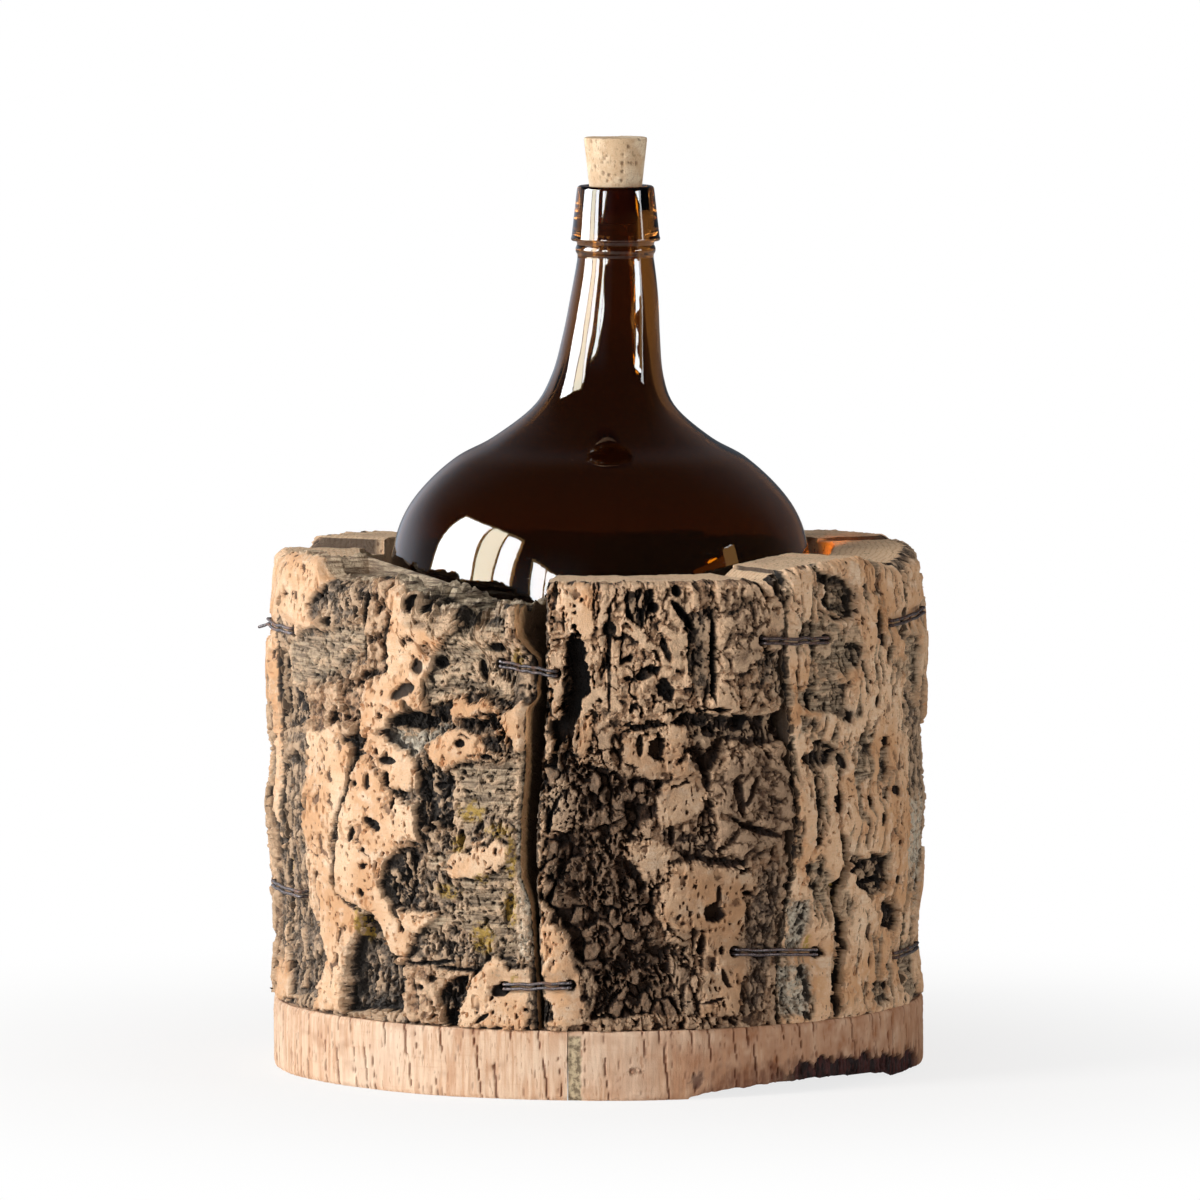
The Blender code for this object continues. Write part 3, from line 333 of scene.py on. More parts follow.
studioSettings = {
    "floorSize": 24.0,
    "floorDrop": 0.0002,
    "shadowShare": 0.22,
    "shadowStart": 0.15,
    "shadowReach": 0.62,
    "roomLight": 0.22,
    "paneLight": 24.0,
    # what mirrors see: direction and strength in front of and behind the object, and low on the left
    "mirrorColor": (0.80, 0.90, 1.06, 1),
    "mirrorFront": (0.22, 0.025),
    "mirrorBehind": (0.92, 0.110),
    "mirrorLeft": (-0.34, -0.02),
    "mirrorLow": (0.02, 0.50),
    "mirrorLeftLow": 7.0,
    # name, place, aim, width, height, power, colour and spread in degrees
    "lamps": [
        ("keyWindow", (-2.66, -1.72, 1.45), (0, 0, 0.2), 1.1, 1.0, 94.0, (1.0, 0.975, 0.94), 180),
        ("sideWindow", (-1.25, -3.3, 1.2), (0, 0, 0.2), 0.7, 0.9, 6.5, (1.0, 0.965, 0.93), 180),
        ("rightWindow", (3.1, -1.35, 1.0), (0, 0, 0.2), 0.7, 1.2, 20.5, (1.0, 0.95, 0.88), 180),
        ("softTop", (-0.2, 0.2, 2.4), (0, 0, 0.2), 1.6, 1.6, 5.0, (1.0, 0.98, 0.96), 180),
        # daylight that comes through the bottle and tints the bark behind its shoulder
        ("amberGleam", (0.100, -0.050, 0.315), (0.127, 0.040, 0.279), 0.012, 0.012, 0.013,
         (1.0, 0.30, 0.02), 30),
    ],
    # colour, and light as a share of the light of the panes
    "glows": {
        "windowPane": ((0.93, 0.96, 1.0, 1), 1.0),
        "creamPane": ((1.0, 0.93, 0.74, 1), 0.75),
        "windowFrame": ((0.62, 0.42, 0.20, 1), 0.125),
        "paneDim": ((0.93, 0.96, 1.0, 1), 0.4),
        "paneMurky": ((0.80, 0.62, 0.42, 1), 0.05),
        "shutterBrown": ((1.0, 0.24, 0.04, 1), 0.036),
        "shutterLath": ((1.0, 0.52, 0.18, 1), 0.10),
        "amberGlint": ((1.0, 0.30, 0.01, 1), 0.62),
    },
    # glow, place across, start and end along the wall, and low and high edge
    "cards": {
        "frameLeft": ("windowFrame", -2.22, -1.98, 0.60, 0.05, 2.08),
        "paneLeft1": ("windowPane", -2.20, -0.62, 0.55, 0.42, 2.00),
        "paneLeft2": ("creamPane", -2.20, -1.22, -0.69, 0.42, 2.00),
        "paneLeft3": ("windowPane", -2.20, -1.84, -1.29, 0.30, 1.92),
        "sillLeft": ("creamPane", -2.20, -1.55, 0.30, 0.12, 0.34),
        "frameFar": ("windowFrame", -2.22, -5.05, -2.72, 0.02, 1.62),
        "paneFar1": ("windowPane", -2.20, -3.70, -2.82, 0.10, 1.50),
        "paneFar2": ("windowPane", -2.20, -4.95, -3.84, 0.10, 1.50),
        "paneRight1": ("windowPane", 2.40, -1.45, -0.68, 0.47, 0.98),
        "paneRight2": ("paneDim", 2.40, -0.64, -0.42, 0.47, 1.22),
        "paneRight3": ("paneMurky", 2.40, -1.40, -0.46, 0.02, 0.44),
        # a brown shutter close by takes the right window from the belly but not from the neck
        "shutterNear": ("shutterBrown", 0.60, -0.52, -0.232, 0.26, 0.464),
        "lathNear": ("shutterLath", 0.60, -0.233, -0.145, 0.26, 0.50),
        # amber glints beside the right window's streak on the neck
        "glint1": ("amberGlint", 2.40, -1.78, -1.50, 0.48, 0.56),
        "glint2": ("amberGlint", 2.40, -1.66, -1.50, 0.56, 0.63),
        "glint3": ("amberGlint", 2.40, -1.80, -1.52, 0.78, 0.86),
        "glint4": ("amberGlint", 2.40, -1.64, -1.46, 0.86, 0.95),
        "glint5": ("amberGlint", 2.40, -1.30, -0.95, 1.02, 1.10),
    },
}


def makeFloor():
    s = studioSettings
    deselectAll()
    bpy.ops.mesh.primitive_plane_add(size=s["floorSize"], location=(0, 0, -s["floorDrop"]))
    floor = startPiece("floor")
    paint = Paint("paleFloor")
    away = paint.node("ShaderNodeVectorMath", {"operation": "LENGTH"}, {0: paint.place}, output="Value")
    share = paint.span(away, s["shadowStart"], s["shadowReach"], s["shadowShare"], 0.0)
    lit = paint.node("ShaderNodeBsdfDiffuse", sockets={"Color": (0.9, 0.9, 0.9, 1)})
    white = paint.node("ShaderNodeEmission", sockets={"Color": (1, 1, 1, 1), "Strength": 1.0})
    both = paint.mixShader(paint.seenStraight(), lit, paint.mixShader(share, white, lit))
    paint.node("ShaderNodeOutputMaterial", sockets={"Surface": both})
    floor.data.materials.append(paint.owner)


def makeWorld():
    # white where it is seen, a dim room as light, and for mirrors a pale backdrop behind the object
    s = studioSettings
    paint = Paint("studio", forWorld=True)
    bpy.context.scene.world = paint.owner

    def background(color, strength):
        return paint.node("ShaderNodeBackground", sockets={"Color": color, "Strength": strength})

    toward = paint.node("ShaderNodeTexCoord", output="Generated")
    x, y, z = [paint.node("ShaderNodeSeparateXYZ", sockets={0: toward}, output=axis) for axis in "XYZ"]
    (front, dim), (behind, bright) = s["mirrorFront"], s["mirrorBehind"]
    leftLow = paint.span(x, *s["mirrorLeft"], 1.0, 0.0) * paint.span(z, *s["mirrorLow"], 1.0, 0.0)
    level = paint.span(y, front, behind, dim, bright) * (leftLow * s["mirrorLeftLow"] + 1.0)
    glossy = paint.node("ShaderNodeLightPath", output="Is Glossy Ray")
    room = background((1.0, 0.97, 0.94, 1), s["roomLight"])
    lit = paint.mixShader(glossy, room, background(s["mirrorColor"], level))
    both = paint.mixShader(paint.seenStraight(), lit, background((1, 1, 1, 1), 1.0))
    paint.node("ShaderNodeOutputWorld", sockets={"Surface": both})


def addLamp(name, place, aim, width, height, power, color, spread):
    data = bpy.data.lights.new(name, "AREA")
    data.shape = "RECTANGLE"
    data.size = width
    data.size_y = height
    data.energy = power
    data.color = color
    data.spread = math.radians(spread)
    lamp = bpy.data.objects.new(name, data)
    bpy.context.scene.collection.objects.link(lamp)
    lamp.location = place
    lamp.rotation_euler = (Vector(aim) - Vector(place)).to_track_quat("-Z", "Y").to_euler()
    lamp.visible_glossy = False
    lamp.visible_transmission = False


def glowMaterial(name, color, strength):
    paint = Paint(name)
    glow = paint.node("ShaderNodeEmission", sockets={"Color": color, "Strength": strength})
    paint.node("ShaderNodeOutputMaterial", sockets={"Surface": glow})
    return paint.owner


def addCard(name, wall, start, end, low, high, material):
    # upright card on a side wall of the room, seen only as a reflection or through the glass
    deselectAll()
    bpy.ops.mesh.primitive_plane_add(size=1.0, location=(wall, (start + end) / 2, (low + high) / 2),
                                     rotation=(0, math.pi / 2, 0))
    card = startPiece(name)
    card.scale = (high - low, end - start, 1)
    placeInMesh(card)
    card.data.materials.append(material)
    card.visible_camera = False
    card.visible_diffuse = False
    card.visible_shadow = False
    card.visible_volume_scatter = False


def makeWindows():
    # two windows in the left wall and one in the right wall, whose panes the bottle mirrors
    s = studioSettings
    glows = {}
    for name, (color, share) in s["glows"].items():
        glows[name] = glowMaterial(name, color, s["paneLight"] * share)
    for name, (glow, wall, start, end, low, high) in s["cards"].items():
        addCard(name, wall, start, end, low, high, glows[glow])


makeFloor()
makeWorld()
makeWindows()
for lamp in studioSettings["lamps"]:
    addLamp(*lamp)
bpy.context.scene.view_settings.view_transform = "Standard"
print("camera, floor and lights are set")


# the casing's shape, as the frame has it: metres, and the depth of its wall in millimetres

casing = {
    "boardTop": 0.038,
    "foot": 0.0383,
    "rim": 0.286,
    "bore": 0.133,
    "radius": 0.180,
    "wallDepth": 47,
    "seamGap": 0.0005,
    "rimRounding": 0.0045,
    "barrel": [(0, 0.001), (0.09, -0.001), (0.19, -0.001), (0.31, 0.0025), (0.44, 0.005), (0.53, 0.003),
        (0.62, 0.002), (0.76, 0.003), (0.86, 0.0025), (0.94, 0.001), (1, -0.001)],
    "seams": [(-75.4, 2.6, 0.086), (-10.2, 0.8, 0.2), (34.7, 1.2, 0.124), (70.6, -0.9, 0.19),
        (112, 1.5, 0.06), (157, -1.3, 0.11), (201, 1.6, 0.03), (245, -1.4, 0.15)],
    "seamWave": 0.230,
    "seamStraight": 0.050,
    "slant": [(0, 2), (0.28, 2), (0.34, 7), (0.71, 8), (0.74, 3), (0.82, 3), (0.87, 15), (1, 15)],
}
barkHeight = casing["rim"] - casing["boardTop"]

# each panel's grid step, its bark where no patch lies, and its rim over the casing's, across the panel
panels = [
    {"name": "bark_front_left", "spacing": 0.00089, "base": "crust", "level": -1.0, "proud": 0.0012, "rim": [
        (0, 0.001), (0.08, 0.005), (0.16, 0.007), (0.31, 0.006), (0.335, -0.003), (0.42, -0.004),
        (0.56, -0.002), (0.6, 0.001), (0.655, -0.002), (0.66, -0.006), (0.75, -0.008), (0.755, -0.012),
        (0.83, -0.013), (0.85, -0.017), (0.92, -0.018), (0.925, -0.013), (1, -0.013)]},
    {"name": "bark_front", "spacing": 0.00078, "base": "block", "level": 0.2, "proud": 0.0, "rim": [
        (0, -0.002), (0.3, -0.002), (0.72, -0.002), (0.86, -0.002), (0.93, -0.005), (1, 0)]},
    {"name": "bark_front_right", "spacing": 0.00078, "base": "skin", "level": 1.2, "proud": 0.0006, "rim": [
        (0, 0.002), (0.3, 0.005), (0.57, 0.006), (0.8, 0.001), (1, -0.004)]},
    {"name": "bark_right", "spacing": 0.001, "base": "crust", "level": -0.6, "proud": 0.0, "rim": [
        (0, -0.001), (0.35, 0.003), (0.7, 0.004), (1, 0.002)]},
    {"name": "bark_back_right", "spacing": 0.0012, "base": "skin", "level": 1.0, "proud": 0.0008, "rim": [
        (0, 0.004), (0.4, 0.003), (1, -0.001)]},
    {"name": "bark_back", "spacing": 0.0012, "base": "crust", "level": -0.5, "proud": -0.0004, "rim": [
        (0, 0.002), (0.5, 0), (1, 0.003)]},
    {"name": "bark_back_left", "spacing": 0.0012, "base": "block", "level": 0.3, "proud": 0.0006, "rim": [
        (0, -0.002), (0.45, -0.006), (0.53, -0.006), (0.545, 0.002), (0.97, 0.003), (1, 0.002)]},
    {"name": "bark_left", "spacing": 0.0011, "base": "skin", "level": 0.8, "proud": 0.0, "rim": [
        (0, -0.006), (0.2, -0.005), (0.4, 0), (0.75, 0.002), (1, -0.002)]},
]

# Patches of bark on the front panels: kind, level over the casing's surface in millimetres, and
# outline as places given by azimuth in degrees and height in millimetres
barkOutlines = {
    "bark_front_left": [
        ("skin", 2.4, [(-76, 297), (-60, 296), (-55, 286), (-60, 272), (-69, 268), (-77, 260)]),
        ("dark", -3, [(-84.8, 231), (-67, 243), (-69.3, 218), (-61.5, 213), (-60.7, 196), (-70.5, 193),
            (-78.5, 183), (-81, 207)]),
        ("crust", -3.2, [(-76.6, 156), (-76.6, 169), (-67.1, 183), (-61.5, 174), (-63.3, 162), (-61.6, 98),
            (-57, 77), (-57, 48), (-70.9, 43), (-73.5, 77), (-75, 113)]),
        ("skin", 1, [(-78.8, 124), (-75.1, 82), (-70.9, 41), (-82, 37), (-87.1, 97)]),
        ("crust", -0.6, [(-54.6, 283), (-44.4, 290), (-43.9, 261), (-54.7, 255), (-60.6, 257), (-61.4, 263),
            (-56.7, 270)]),
        ("skin", 2.2, [(-73, 262), (-65.9, 275), (-54.6, 285), (-55.3, 278), (-59.8, 267), (-60.6, 258),
            (-54.7, 255), (-67, 247), (-73.1, 247)]),
        ("streak", -2.6, [(-67, 245), (-45, 259), (-43.6, 241), (-48.4, 235), (-54.7, 223), (-69.3, 218),
            (-76.3, 233)]),
        ("block", -0.8, [(-61.5, 218), (-50.2, 224), (-44.4, 236), (-43.6, 205), (-47.2, 192), (-54.7, 190),
            (-60.7, 196)]),
        ("dark", -3.4, [(-54.7, 197), (-48.4, 194), (-45.5, 204), (-43.4, 196), (-46.1, 186), (-50.2, 174),
            (-54.1, 185)]),
        ("skin", 0.8, [(-61.5, 196), (-56.8, 195), (-52.1, 201), (-47.3, 183), (-47.8, 170), (-50.2, 154),
            (-52.5, 137), (-53.1, 112), (-49.7, 101), (-45.6, 96), (-49.7, 80), (-51.3, 69), (-51, 41),
            (-60.9, 39), (-57, 70), (-61.2, 98), (-61.6, 130)]),
        ("block", 0.2, [(-43.6, 281), (-38.2, 283), (-38.7, 262), (-38.2, 233), (-41.3, 226), (-43.9, 231),
            (-43.3, 249)]),
        ("skin", 3.2, [(-37.2, 286), (-29, 281), (-26.2, 272), (-26, 265), (-24.5, 261), (-26.9, 251),
            (-28.6, 244), (-29.9, 233), (-30.8, 224), (-30.4, 213), (-37.3, 208), (-39.3, 198), (-43.9, 194),
            (-45, 200), (-44.4, 219), (-42.8, 227), (-38.5, 232), (-38.2, 262), (-38.7, 276)]),
        ("dark", -4.6, [(-29, 284), (-22, 283), (-18.8, 273), (-25.6, 270), (-27.7, 277)]),
        ("streak", -2.2, [(-26.2, 271), (-18.8, 273), (-16, 267), (-16.2, 252), (-21.4, 260), (-24.5, 261)]),
        ("streak", -0.6, [(-26.9, 251), (-24.5, 261), (-21.4, 260), (-16, 252), (-15.4, 245), (-16.6, 234),
            (-14.7, 228), (-14.3, 220), (-19, 221), (-19.8, 223), (-25.6, 221), (-27.3, 215), (-30.4, 213),
            (-30.8, 224), (-29.9, 233), (-28.6, 244)]),
        ("block", 1.8, [(-15.8, 270), (-11.5, 274), (-10.8, 250), (-13.5, 245), (-15.4, 255), (-14.7, 262)]),
        ("dark", -3.2, [(-30.4, 215), (-25.6, 219), (-25.6, 208), (-27.7, 203), (-29.9, 207)]),
        ("skin", 3, [(-25.4, 220), (-22.7, 222), (-22.3, 217), (-20.6, 218), (-19.8, 223), (-18.2, 218),
            (-16.4, 211), (-23.9, 209), (-24.3, 205), (-25.6, 209)]),
        ("dark", -1.2, [(-24.3, 209), (-16.4, 211), (-16, 205), (-18.2, 202), (-23.9, 202)]),
        ("skin", 2.2, [(-29.9, 197), (-25.6, 203), (-20.6, 200), (-16.2, 202), (-13.7, 188), (-17.8, 186),
            (-21.5, 187), (-25.6, 183), (-26.9, 179), (-29.7, 182), (-30.6, 191)]),
        ("dark", -0.6, [(-20.6, 199), (-16.2, 201), (-14.3, 190), (-19, 189)]),
        ("skin", 3, [(-16.6, 208), (-15.5, 214), (-13.1, 219), (-11.8, 217), (-11.4, 187), (-13.7, 188),
            (-14.7, 198), (-16.2, 202)]),
        ("white", -2.8, [(-43.6, 194), (-39.3, 201), (-35.4, 199), (-30.4, 202), (-25.6, 207), (-26, 202),
            (-29.9, 196), (-33.5, 186), (-34.9, 179), (-38.3, 176), (-41.3, 181), (-44.2, 188)]),
        ("dark", -1.6, [(-34.9, 185), (-30.4, 189), (-27.3, 179), (-25.6, 181), (-25.6, 164), (-32.6, 162),
            (-33.1, 172), (-34.9, 176)]),
        ("skin", 1.8, [(-43.4, 200), (-39.3, 196), (-37.3, 190), (-34.9, 190), (-32.8, 182), (-32.6, 170),
            (-34.5, 166), (-38.3, 168), (-41.3, 179), (-44.5, 188)]),
        ("dark", -3.2, [(-32.6, 176), (-25, 177), (-25, 147), (-31.1, 147), (-32.2, 158)]),
        ("streak", -0.8, [(-25.4, 182), (-11.4, 192), (-11.4, 158), (-14.3, 153), (-19, 155), (-23.1, 147),
            (-25.2, 149)]),
        ("crust", 0.3, [(-30.8, 148), (-25.6, 149), (-24.4, 136), (-26.9, 131), (-30, 134), (-31.1, 140)]),
        ("crust", 0.3, [(-24, 138), (-21.5, 146), (-19, 154), (-14.3, 153), (-11.6, 158), (-11.6, 146),
            (-14.3, 144), (-17, 144), (-21.1, 139), (-23.5, 135)]),
        ("streak", -1, [(-31.1, 134), (-24, 135), (-15.5, 141), (-13.9, 125), (-23.5, 118), (-26.5, 124),
            (-30, 125)]),
        ("streak", -0.4, [(-24, 119), (-17.1, 124), (-13.9, 128), (-14.1, 108), (-13.7, 98), (-17.5, 92),
            (-22.3, 96), (-26.1, 101), (-23.5, 112)]),
        ("streak", -0.6, [(-34.5, 100), (-26.5, 102), (-17.5, 93), (-13.9, 98), (-13.9, 80), (-19.1, 75),
            (-24, 83), (-31.8, 84), (-33.6, 91)]),
        ("skin", 1.6, [(-27.1, 127), (-24.8, 135), (-21.1, 139), (-17.2, 144), (-15.5, 141), (-15.1, 133),
            (-17.1, 126), (-21.5, 121), (-25.2, 121)]),
        ("skin", 2.8, [(-47.6, 170), (-44.5, 186), (-41.3, 179), (-38.3, 168), (-36.8, 164), (-32.9, 161),
            (-32.2, 149), (-31.1, 139), (-34.9, 137), (-38.3, 127), (-39.8, 117), (-39.3, 109), (-37.3, 103),
            (-34.5, 100), (-28.2, 100), (-33.6, 88), (-34.5, 76), (-37.4, 72), (-39.3, 80), (-41.6, 97),
            (-44.5, 100), (-49.1, 102), (-51.8, 111), (-51.2, 138), (-49, 154)]),
        ("dark", -0.9, [(-39.9, 115), (-38.6, 127), (-35.4, 135), (-32.6, 139), (-31.2, 131), (-31.3, 119),
            (-31.5, 103), (-34.5, 100), (-37.3, 103), (-39.3, 108)]),
        ("crust", -0.8, [(-31.4, 120), (-29.1, 126), (-25.6, 122), (-23.5, 116), (-25.6, 107), (-28.6, 102),
            (-31.3, 106)]),
        ("white", -0.2, [(-14.1, 154), (-11.4, 147), (-11.4, 74), (-13.9, 79), (-14.3, 108), (-13.5, 128)]),
        ("crust", -8, [(-50.6, 72), (-49.1, 80), (-45.6, 95), (-44, 99), (-42.1, 97), (-39.3, 80),
            (-38.3, 71), (-36.6, 69), (-36.7, 45), (-51, 41)]),
        ("crust", 0.2, [(-34.5, 76), (-26.5, 97), (-24, 92), (-16.3, 84), (-19.1, 75), (-25.7, 70),
            (-31.8, 68), (-35, 71)]),
        ("block", 0.4, [(-36.6, 71), (-27.4, 69), (-21.9, 72), (-23.1, 59), (-24.6, 40), (-30, 39),
            (-35.5, 41), (-36.4, 54)]),
        ("skin", 2.2, [(-21.9, 66), (-18.3, 79), (-15.1, 73), (-11.8, 73), (-11.6, 38), (-24.8, 38),
            (-24.2, 50)]),
        ("dark", -4.4, [(-27.4, 65), (-22.7, 68), (-24.6, 49), (-25, 40), (-27.8, 41), (-29.1, 55)]),
    ],
    "bark_front": [
        ("block", 0.8, [(-0.5, 286), (36.7, 283), (37.3, 207), (29.3, 200), (16.8, 207), (13.2, 207),
            (5.2, 207), (-1, 219)]),
        ("skin", 3, [(-6.8, 284), (-1, 284), (0, 279), (-0.8, 253), (-3.2, 252), (-5.6, 255), (-5.8, 266),
            (-6.9, 269)]),
        ("dark", -12, [(-6.2, 251), (-2.9, 252), (-2.5, 241), (-0.9, 238), (-1, 224), (-2.9, 221),
            (-3.6, 199), (-4.9, 185), (-7.8, 191), (-8, 207), (-4.9, 219), (-4.3, 230), (-4.9, 241)]),
        ("block", 2.4, [(-10, 248), (-5.8, 251), (-4.9, 241), (-4.3, 227), (-6.2, 220), (-11.1, 219),
            (-11.6, 241)]),
        ("block", 3, [(0.4, 284), (13.2, 285), (9.6, 281), (5.2, 278), (2.5, 270), (1.7, 263), (-0.5, 260),
            (0.4, 277)]),
        ("dark", -1.6, [(4.9, 279), (9.6, 281), (10.7, 269), (7.8, 258), (4.9, 263)]),
        ("boulder", 1.6, [(10.5, 280), (13.2, 281), (17.2, 278), (16.8, 268), (13.2, 262), (10.5, 263)]),
        ("crust", -1.8, [(16.6, 268), (21.5, 271), (21.4, 234), (19.6, 218), (17.7, 221), (15.7, 238),
            (15.4, 250)]),
        ("block", 2.4, [(12, 257), (15.5, 258), (15.8, 240), (13.2, 234), (10.9, 230), (9.9, 238),
            (11.1, 248)]),
        ("block", 2.2, [(6.9, 257), (11.4, 259), (10.2, 249), (7.4, 249)]),
        ("boulder", 3.2, [(21.5, 280), (29.3, 278), (30.5, 267), (30.3, 248), (29, 239), (25.3, 233),
            (21.5, 236)]),
        ("block", 2.6, [(30.8, 272), (36.8, 270), (37.5, 252), (36.7, 245), (30.3, 246), (30, 254)]),
        ("crust", -0.9, [(30.3, 246), (37, 245), (37.3, 224), (34, 218), (31.9, 222), (29, 230), (29, 239)]),
        ("block", 1.8, [(21.2, 234), (27.5, 232), (27.9, 221), (26.8, 211), (19.6, 209), (18.6, 218),
            (20.6, 220)]),
        ("block", 1.4, [(1.7, 241), (9.6, 237), (13.2, 224), (16.8, 218), (13.2, 210), (7.8, 205),
            (4.3, 210), (2.1, 221)]),
        ("block", -0.4, [(-1, 207), (15.9, 207), (22.4, 201), (21.5, 189), (15, 176), (9.6, 174), (3, 179),
            (-0.5, 185), (-3.6, 182), (-4, 199)]),
        ("sponge", -2.6, [(-8.9, 188), (-5.4, 199), (-0.5, 185), (3.8, 181), (9.6, 175), (13.2, 178),
            (13.2, 165), (11.4, 157), (7.8, 149), (9.6, 143), (3.4, 150), (-4.9, 149), (-8.5, 149),
            (-9.8, 165)]),
        ("dark", -4.4, [(12.3, 207), (16.3, 214), (22.4, 213), (29.3, 210), (36.2, 214), (36.6, 196),
            (30, 191), (25.3, 195), (19.6, 199), (15, 201)]),
        ("dark", -3.6, [(3.6, 206), (10.5, 209), (11.8, 205), (8.3, 202), (4.7, 203)]),
        ("skin", 1.4, [(-2.9, 210), (-1, 212), (-0.5, 195), (-2.5, 185), (-4, 190), (-3.4, 200)]),
        ("block", 1.6, [(-0.5, 207), (2.1, 212), (3.6, 199), (2.8, 185), (0.3, 185)]),
        ("skin", 1.4, [(4.7, 200), (10.5, 202), (13.2, 206), (15.7, 205), (15, 191), (13.2, 180), (9.6, 176),
            (6.9, 181), (4.3, 188)]),
        ("crust", 0.2, [(16.8, 203), (21.7, 202), (20.5, 194), (18.7, 189), (16.8, 196)]),
        ("dark", -6.5, [(15, 189), (16.8, 196), (19.1, 190), (20.8, 198), (23.9, 198), (20.5, 180),
            (19.1, 176), (18, 184)]),
        ("skin", 2.8, [(15.4, 191), (18.3, 182), (17.3, 178), (13.2, 175), (12.7, 182)]),
        ("skin", 1.2, [(12.3, 173), (17.3, 179), (19.6, 174), (19.1, 164), (16.8, 156), (10.9, 148),
            (10.5, 165)]),
        ("boulder", 3.3, [(23.9, 190), (29.3, 192), (34.5, 179), (37, 163), (36.3, 153), (35.1, 147),
            (32.4, 146), (27.8, 149), (23.4, 156), (21.2, 157), (19.1, 166), (20.3, 177)]),
        ("boulder", 1.8, [(20.3, 155), (25.8, 149), (32.7, 146), (31.1, 134), (27.3, 130), (22.7, 135),
            (20.9, 144)]),
        ("sponge", -4.5, [(-8.9, 147), (-4.9, 150), (3.4, 152), (9.6, 143), (5.2, 137), (7.8, 127),
            (9.2, 117), (10.5, 106), (12.3, 89), (15, 85), (17.3, 72), (18.3, 46), (-1, 45), (-1.4, 62),
            (-4.5, 81), (-6.7, 98), (-9.6, 109), (-9.8, 126)]),
        ("dark", 0.2, [(-9.3, 168), (-6.7, 176), (-3.6, 169), (-2.5, 155), (-5.4, 147), (-8.2, 148)]),
        ("dark", -1.2, [(10.5, 149), (16.8, 148), (21.5, 139), (21.2, 132), (15, 135), (12.3, 142)]),
        ("skin", 0.8, [(4.5, 141), (9.6, 144), (15, 134), (11.8, 127), (8.3, 124), (5.8, 131)]),
        ("dark", -4, [(14.1, 136), (21.5, 134), (27.3, 129), (26.3, 125), (19.6, 129), (15, 132)]),
        ("crust", 0.9, [(28.6, 118), (33.7, 132), (33.8, 106), (33.2, 83), (31.4, 64), (30, 47), (26.2, 44),
            (26.7, 63), (28.3, 70), (26.7, 84), (26.8, 104)]),
        ("skin", 2.6, [(11.7, 125), (15.4, 131), (17.7, 128), (25.8, 125), (29.1, 119), (28.3, 111),
            (24.9, 113), (26.9, 105), (26.8, 96), (25.3, 89), (26.6, 83), (27.9, 70), (26.3, 62), (25.4, 45),
            (18.1, 45), (18.3, 63), (19.1, 77), (17.8, 86), (18.8, 91), (17.3, 94), (15.5, 90), (12.7, 92),
            (10.4, 103), (11.4, 114)]),
        ("crust", -1, [(13, 79), (17.1, 72), (18, 46), (15, 45), (13.9, 64)]),
        ("crust", -0.4, [(-4.9, 82), (-0.8, 67), (0.1, 53), (-2.1, 46), (-2.5, 64)]),
        ("skin", 3.2, [(-11.4, 91), (-8.8, 99), (-6.6, 96), (-4.8, 83), (-2.9, 67), (-2.2, 42), (-11.1, 39),
            (-11.8, 55)]),
        ("dark", 0.6, [(-11.4, 55), (-8, 54), (-7.5, 43), (-10.9, 42)]),
    ],
    "bark_front_right": [
        ("skin", 1.6, [(32.1, 283), (40.1, 284), (41.4, 272), (39.6, 265), (37.8, 259), (36.7, 269),
            (32.6, 278)]),
        ("skin", 0.6, [(41.3, 285), (44.9, 285), (45.7, 275), (43.1, 269), (41.1, 274)]),
        ("streak", -3.8, [(42, 287), (46.6, 285), (50.2, 281), (52.4, 273), (52.2, 263), (49.5, 257),
            (45.2, 261), (42.4, 267), (44.2, 275)]),
        ("streak", -1.2, [(37.2, 252), (39.2, 260), (46.2, 262), (48.4, 252), (49.6, 247), (53.7, 241),
            (52.5, 233), (48.4, 228), (41.9, 225), (40.6, 237), (39.5, 246)]),
        ("streak", -1.4, [(37, 223), (41.9, 225), (49.3, 226), (48.4, 213), (50, 200), (45, 207), (39, 210),
            (37.1, 216)]),
        ("skin", 2.8, [(53.2, 272), (60.4, 269), (62, 258), (61.1, 241), (66.7, 242), (68, 228), (62.1, 215),
            (58.4, 205), (53.3, 194), (49.8, 201), (49.1, 224), (53.7, 231), (53.7, 241), (49.8, 248),
            (48.6, 261), (53.3, 257)]),
        ("streak", -0.8, [(64.7, 254), (74.7, 253), (75, 149), (75.2, 200), (68.9, 219), (67.6, 240)]),
        ("skin", 1.8, [(34.5, 202), (39, 209), (46.3, 206), (50.5, 195), (50.5, 174), (45, 173), (40.2, 161),
            (36.2, 163), (35.6, 179)]),
        ("crust", -2, [(37.8, 186), (41.9, 193), (46.6, 188), (45.7, 184), (43.1, 177), (39.3, 175)]),
        ("streak", 0.4, [(37.7, 208), (42, 206), (41.4, 199), (37.8, 199)]),
        ("streak", 0.2, [(51.5, 194), (56.9, 198), (55.7, 177), (53.4, 158), (50.6, 158), (50.5, 176)]),
        ("skin", 1.8, [(57.3, 199), (64, 207), (74.9, 194), (76, 154), (53.4, 155), (55.7, 177)]),
        ("streak", -1, [(59.1, 190), (61.9, 190), (61, 167), (57.4, 165)]),
        ("skin", 2.8, [(33.2, 140), (36.4, 166), (39.6, 176), (40.2, 158), (40.8, 135), (38, 126),
            (40.1, 107), (35.2, 107), (35.1, 94), (33.8, 72), (33, 46), (30.3, 42), (31.5, 64), (34, 83),
            (34.6, 131)]),
        ("crust", -1.6, [(40, 175), (42.7, 176), (42.9, 139), (40.2, 133)]),
        ("skin", 1.6, [(42.6, 180), (45.7, 168), (46.5, 142), (47.8, 123), (45.7, 114), (41.8, 129)]),
        ("streak", -0.6, [(38, 125), (41.8, 129), (45.7, 114), (49.4, 110), (52.3, 98), (49.4, 94),
            (43.2, 100), (40.1, 112)]),
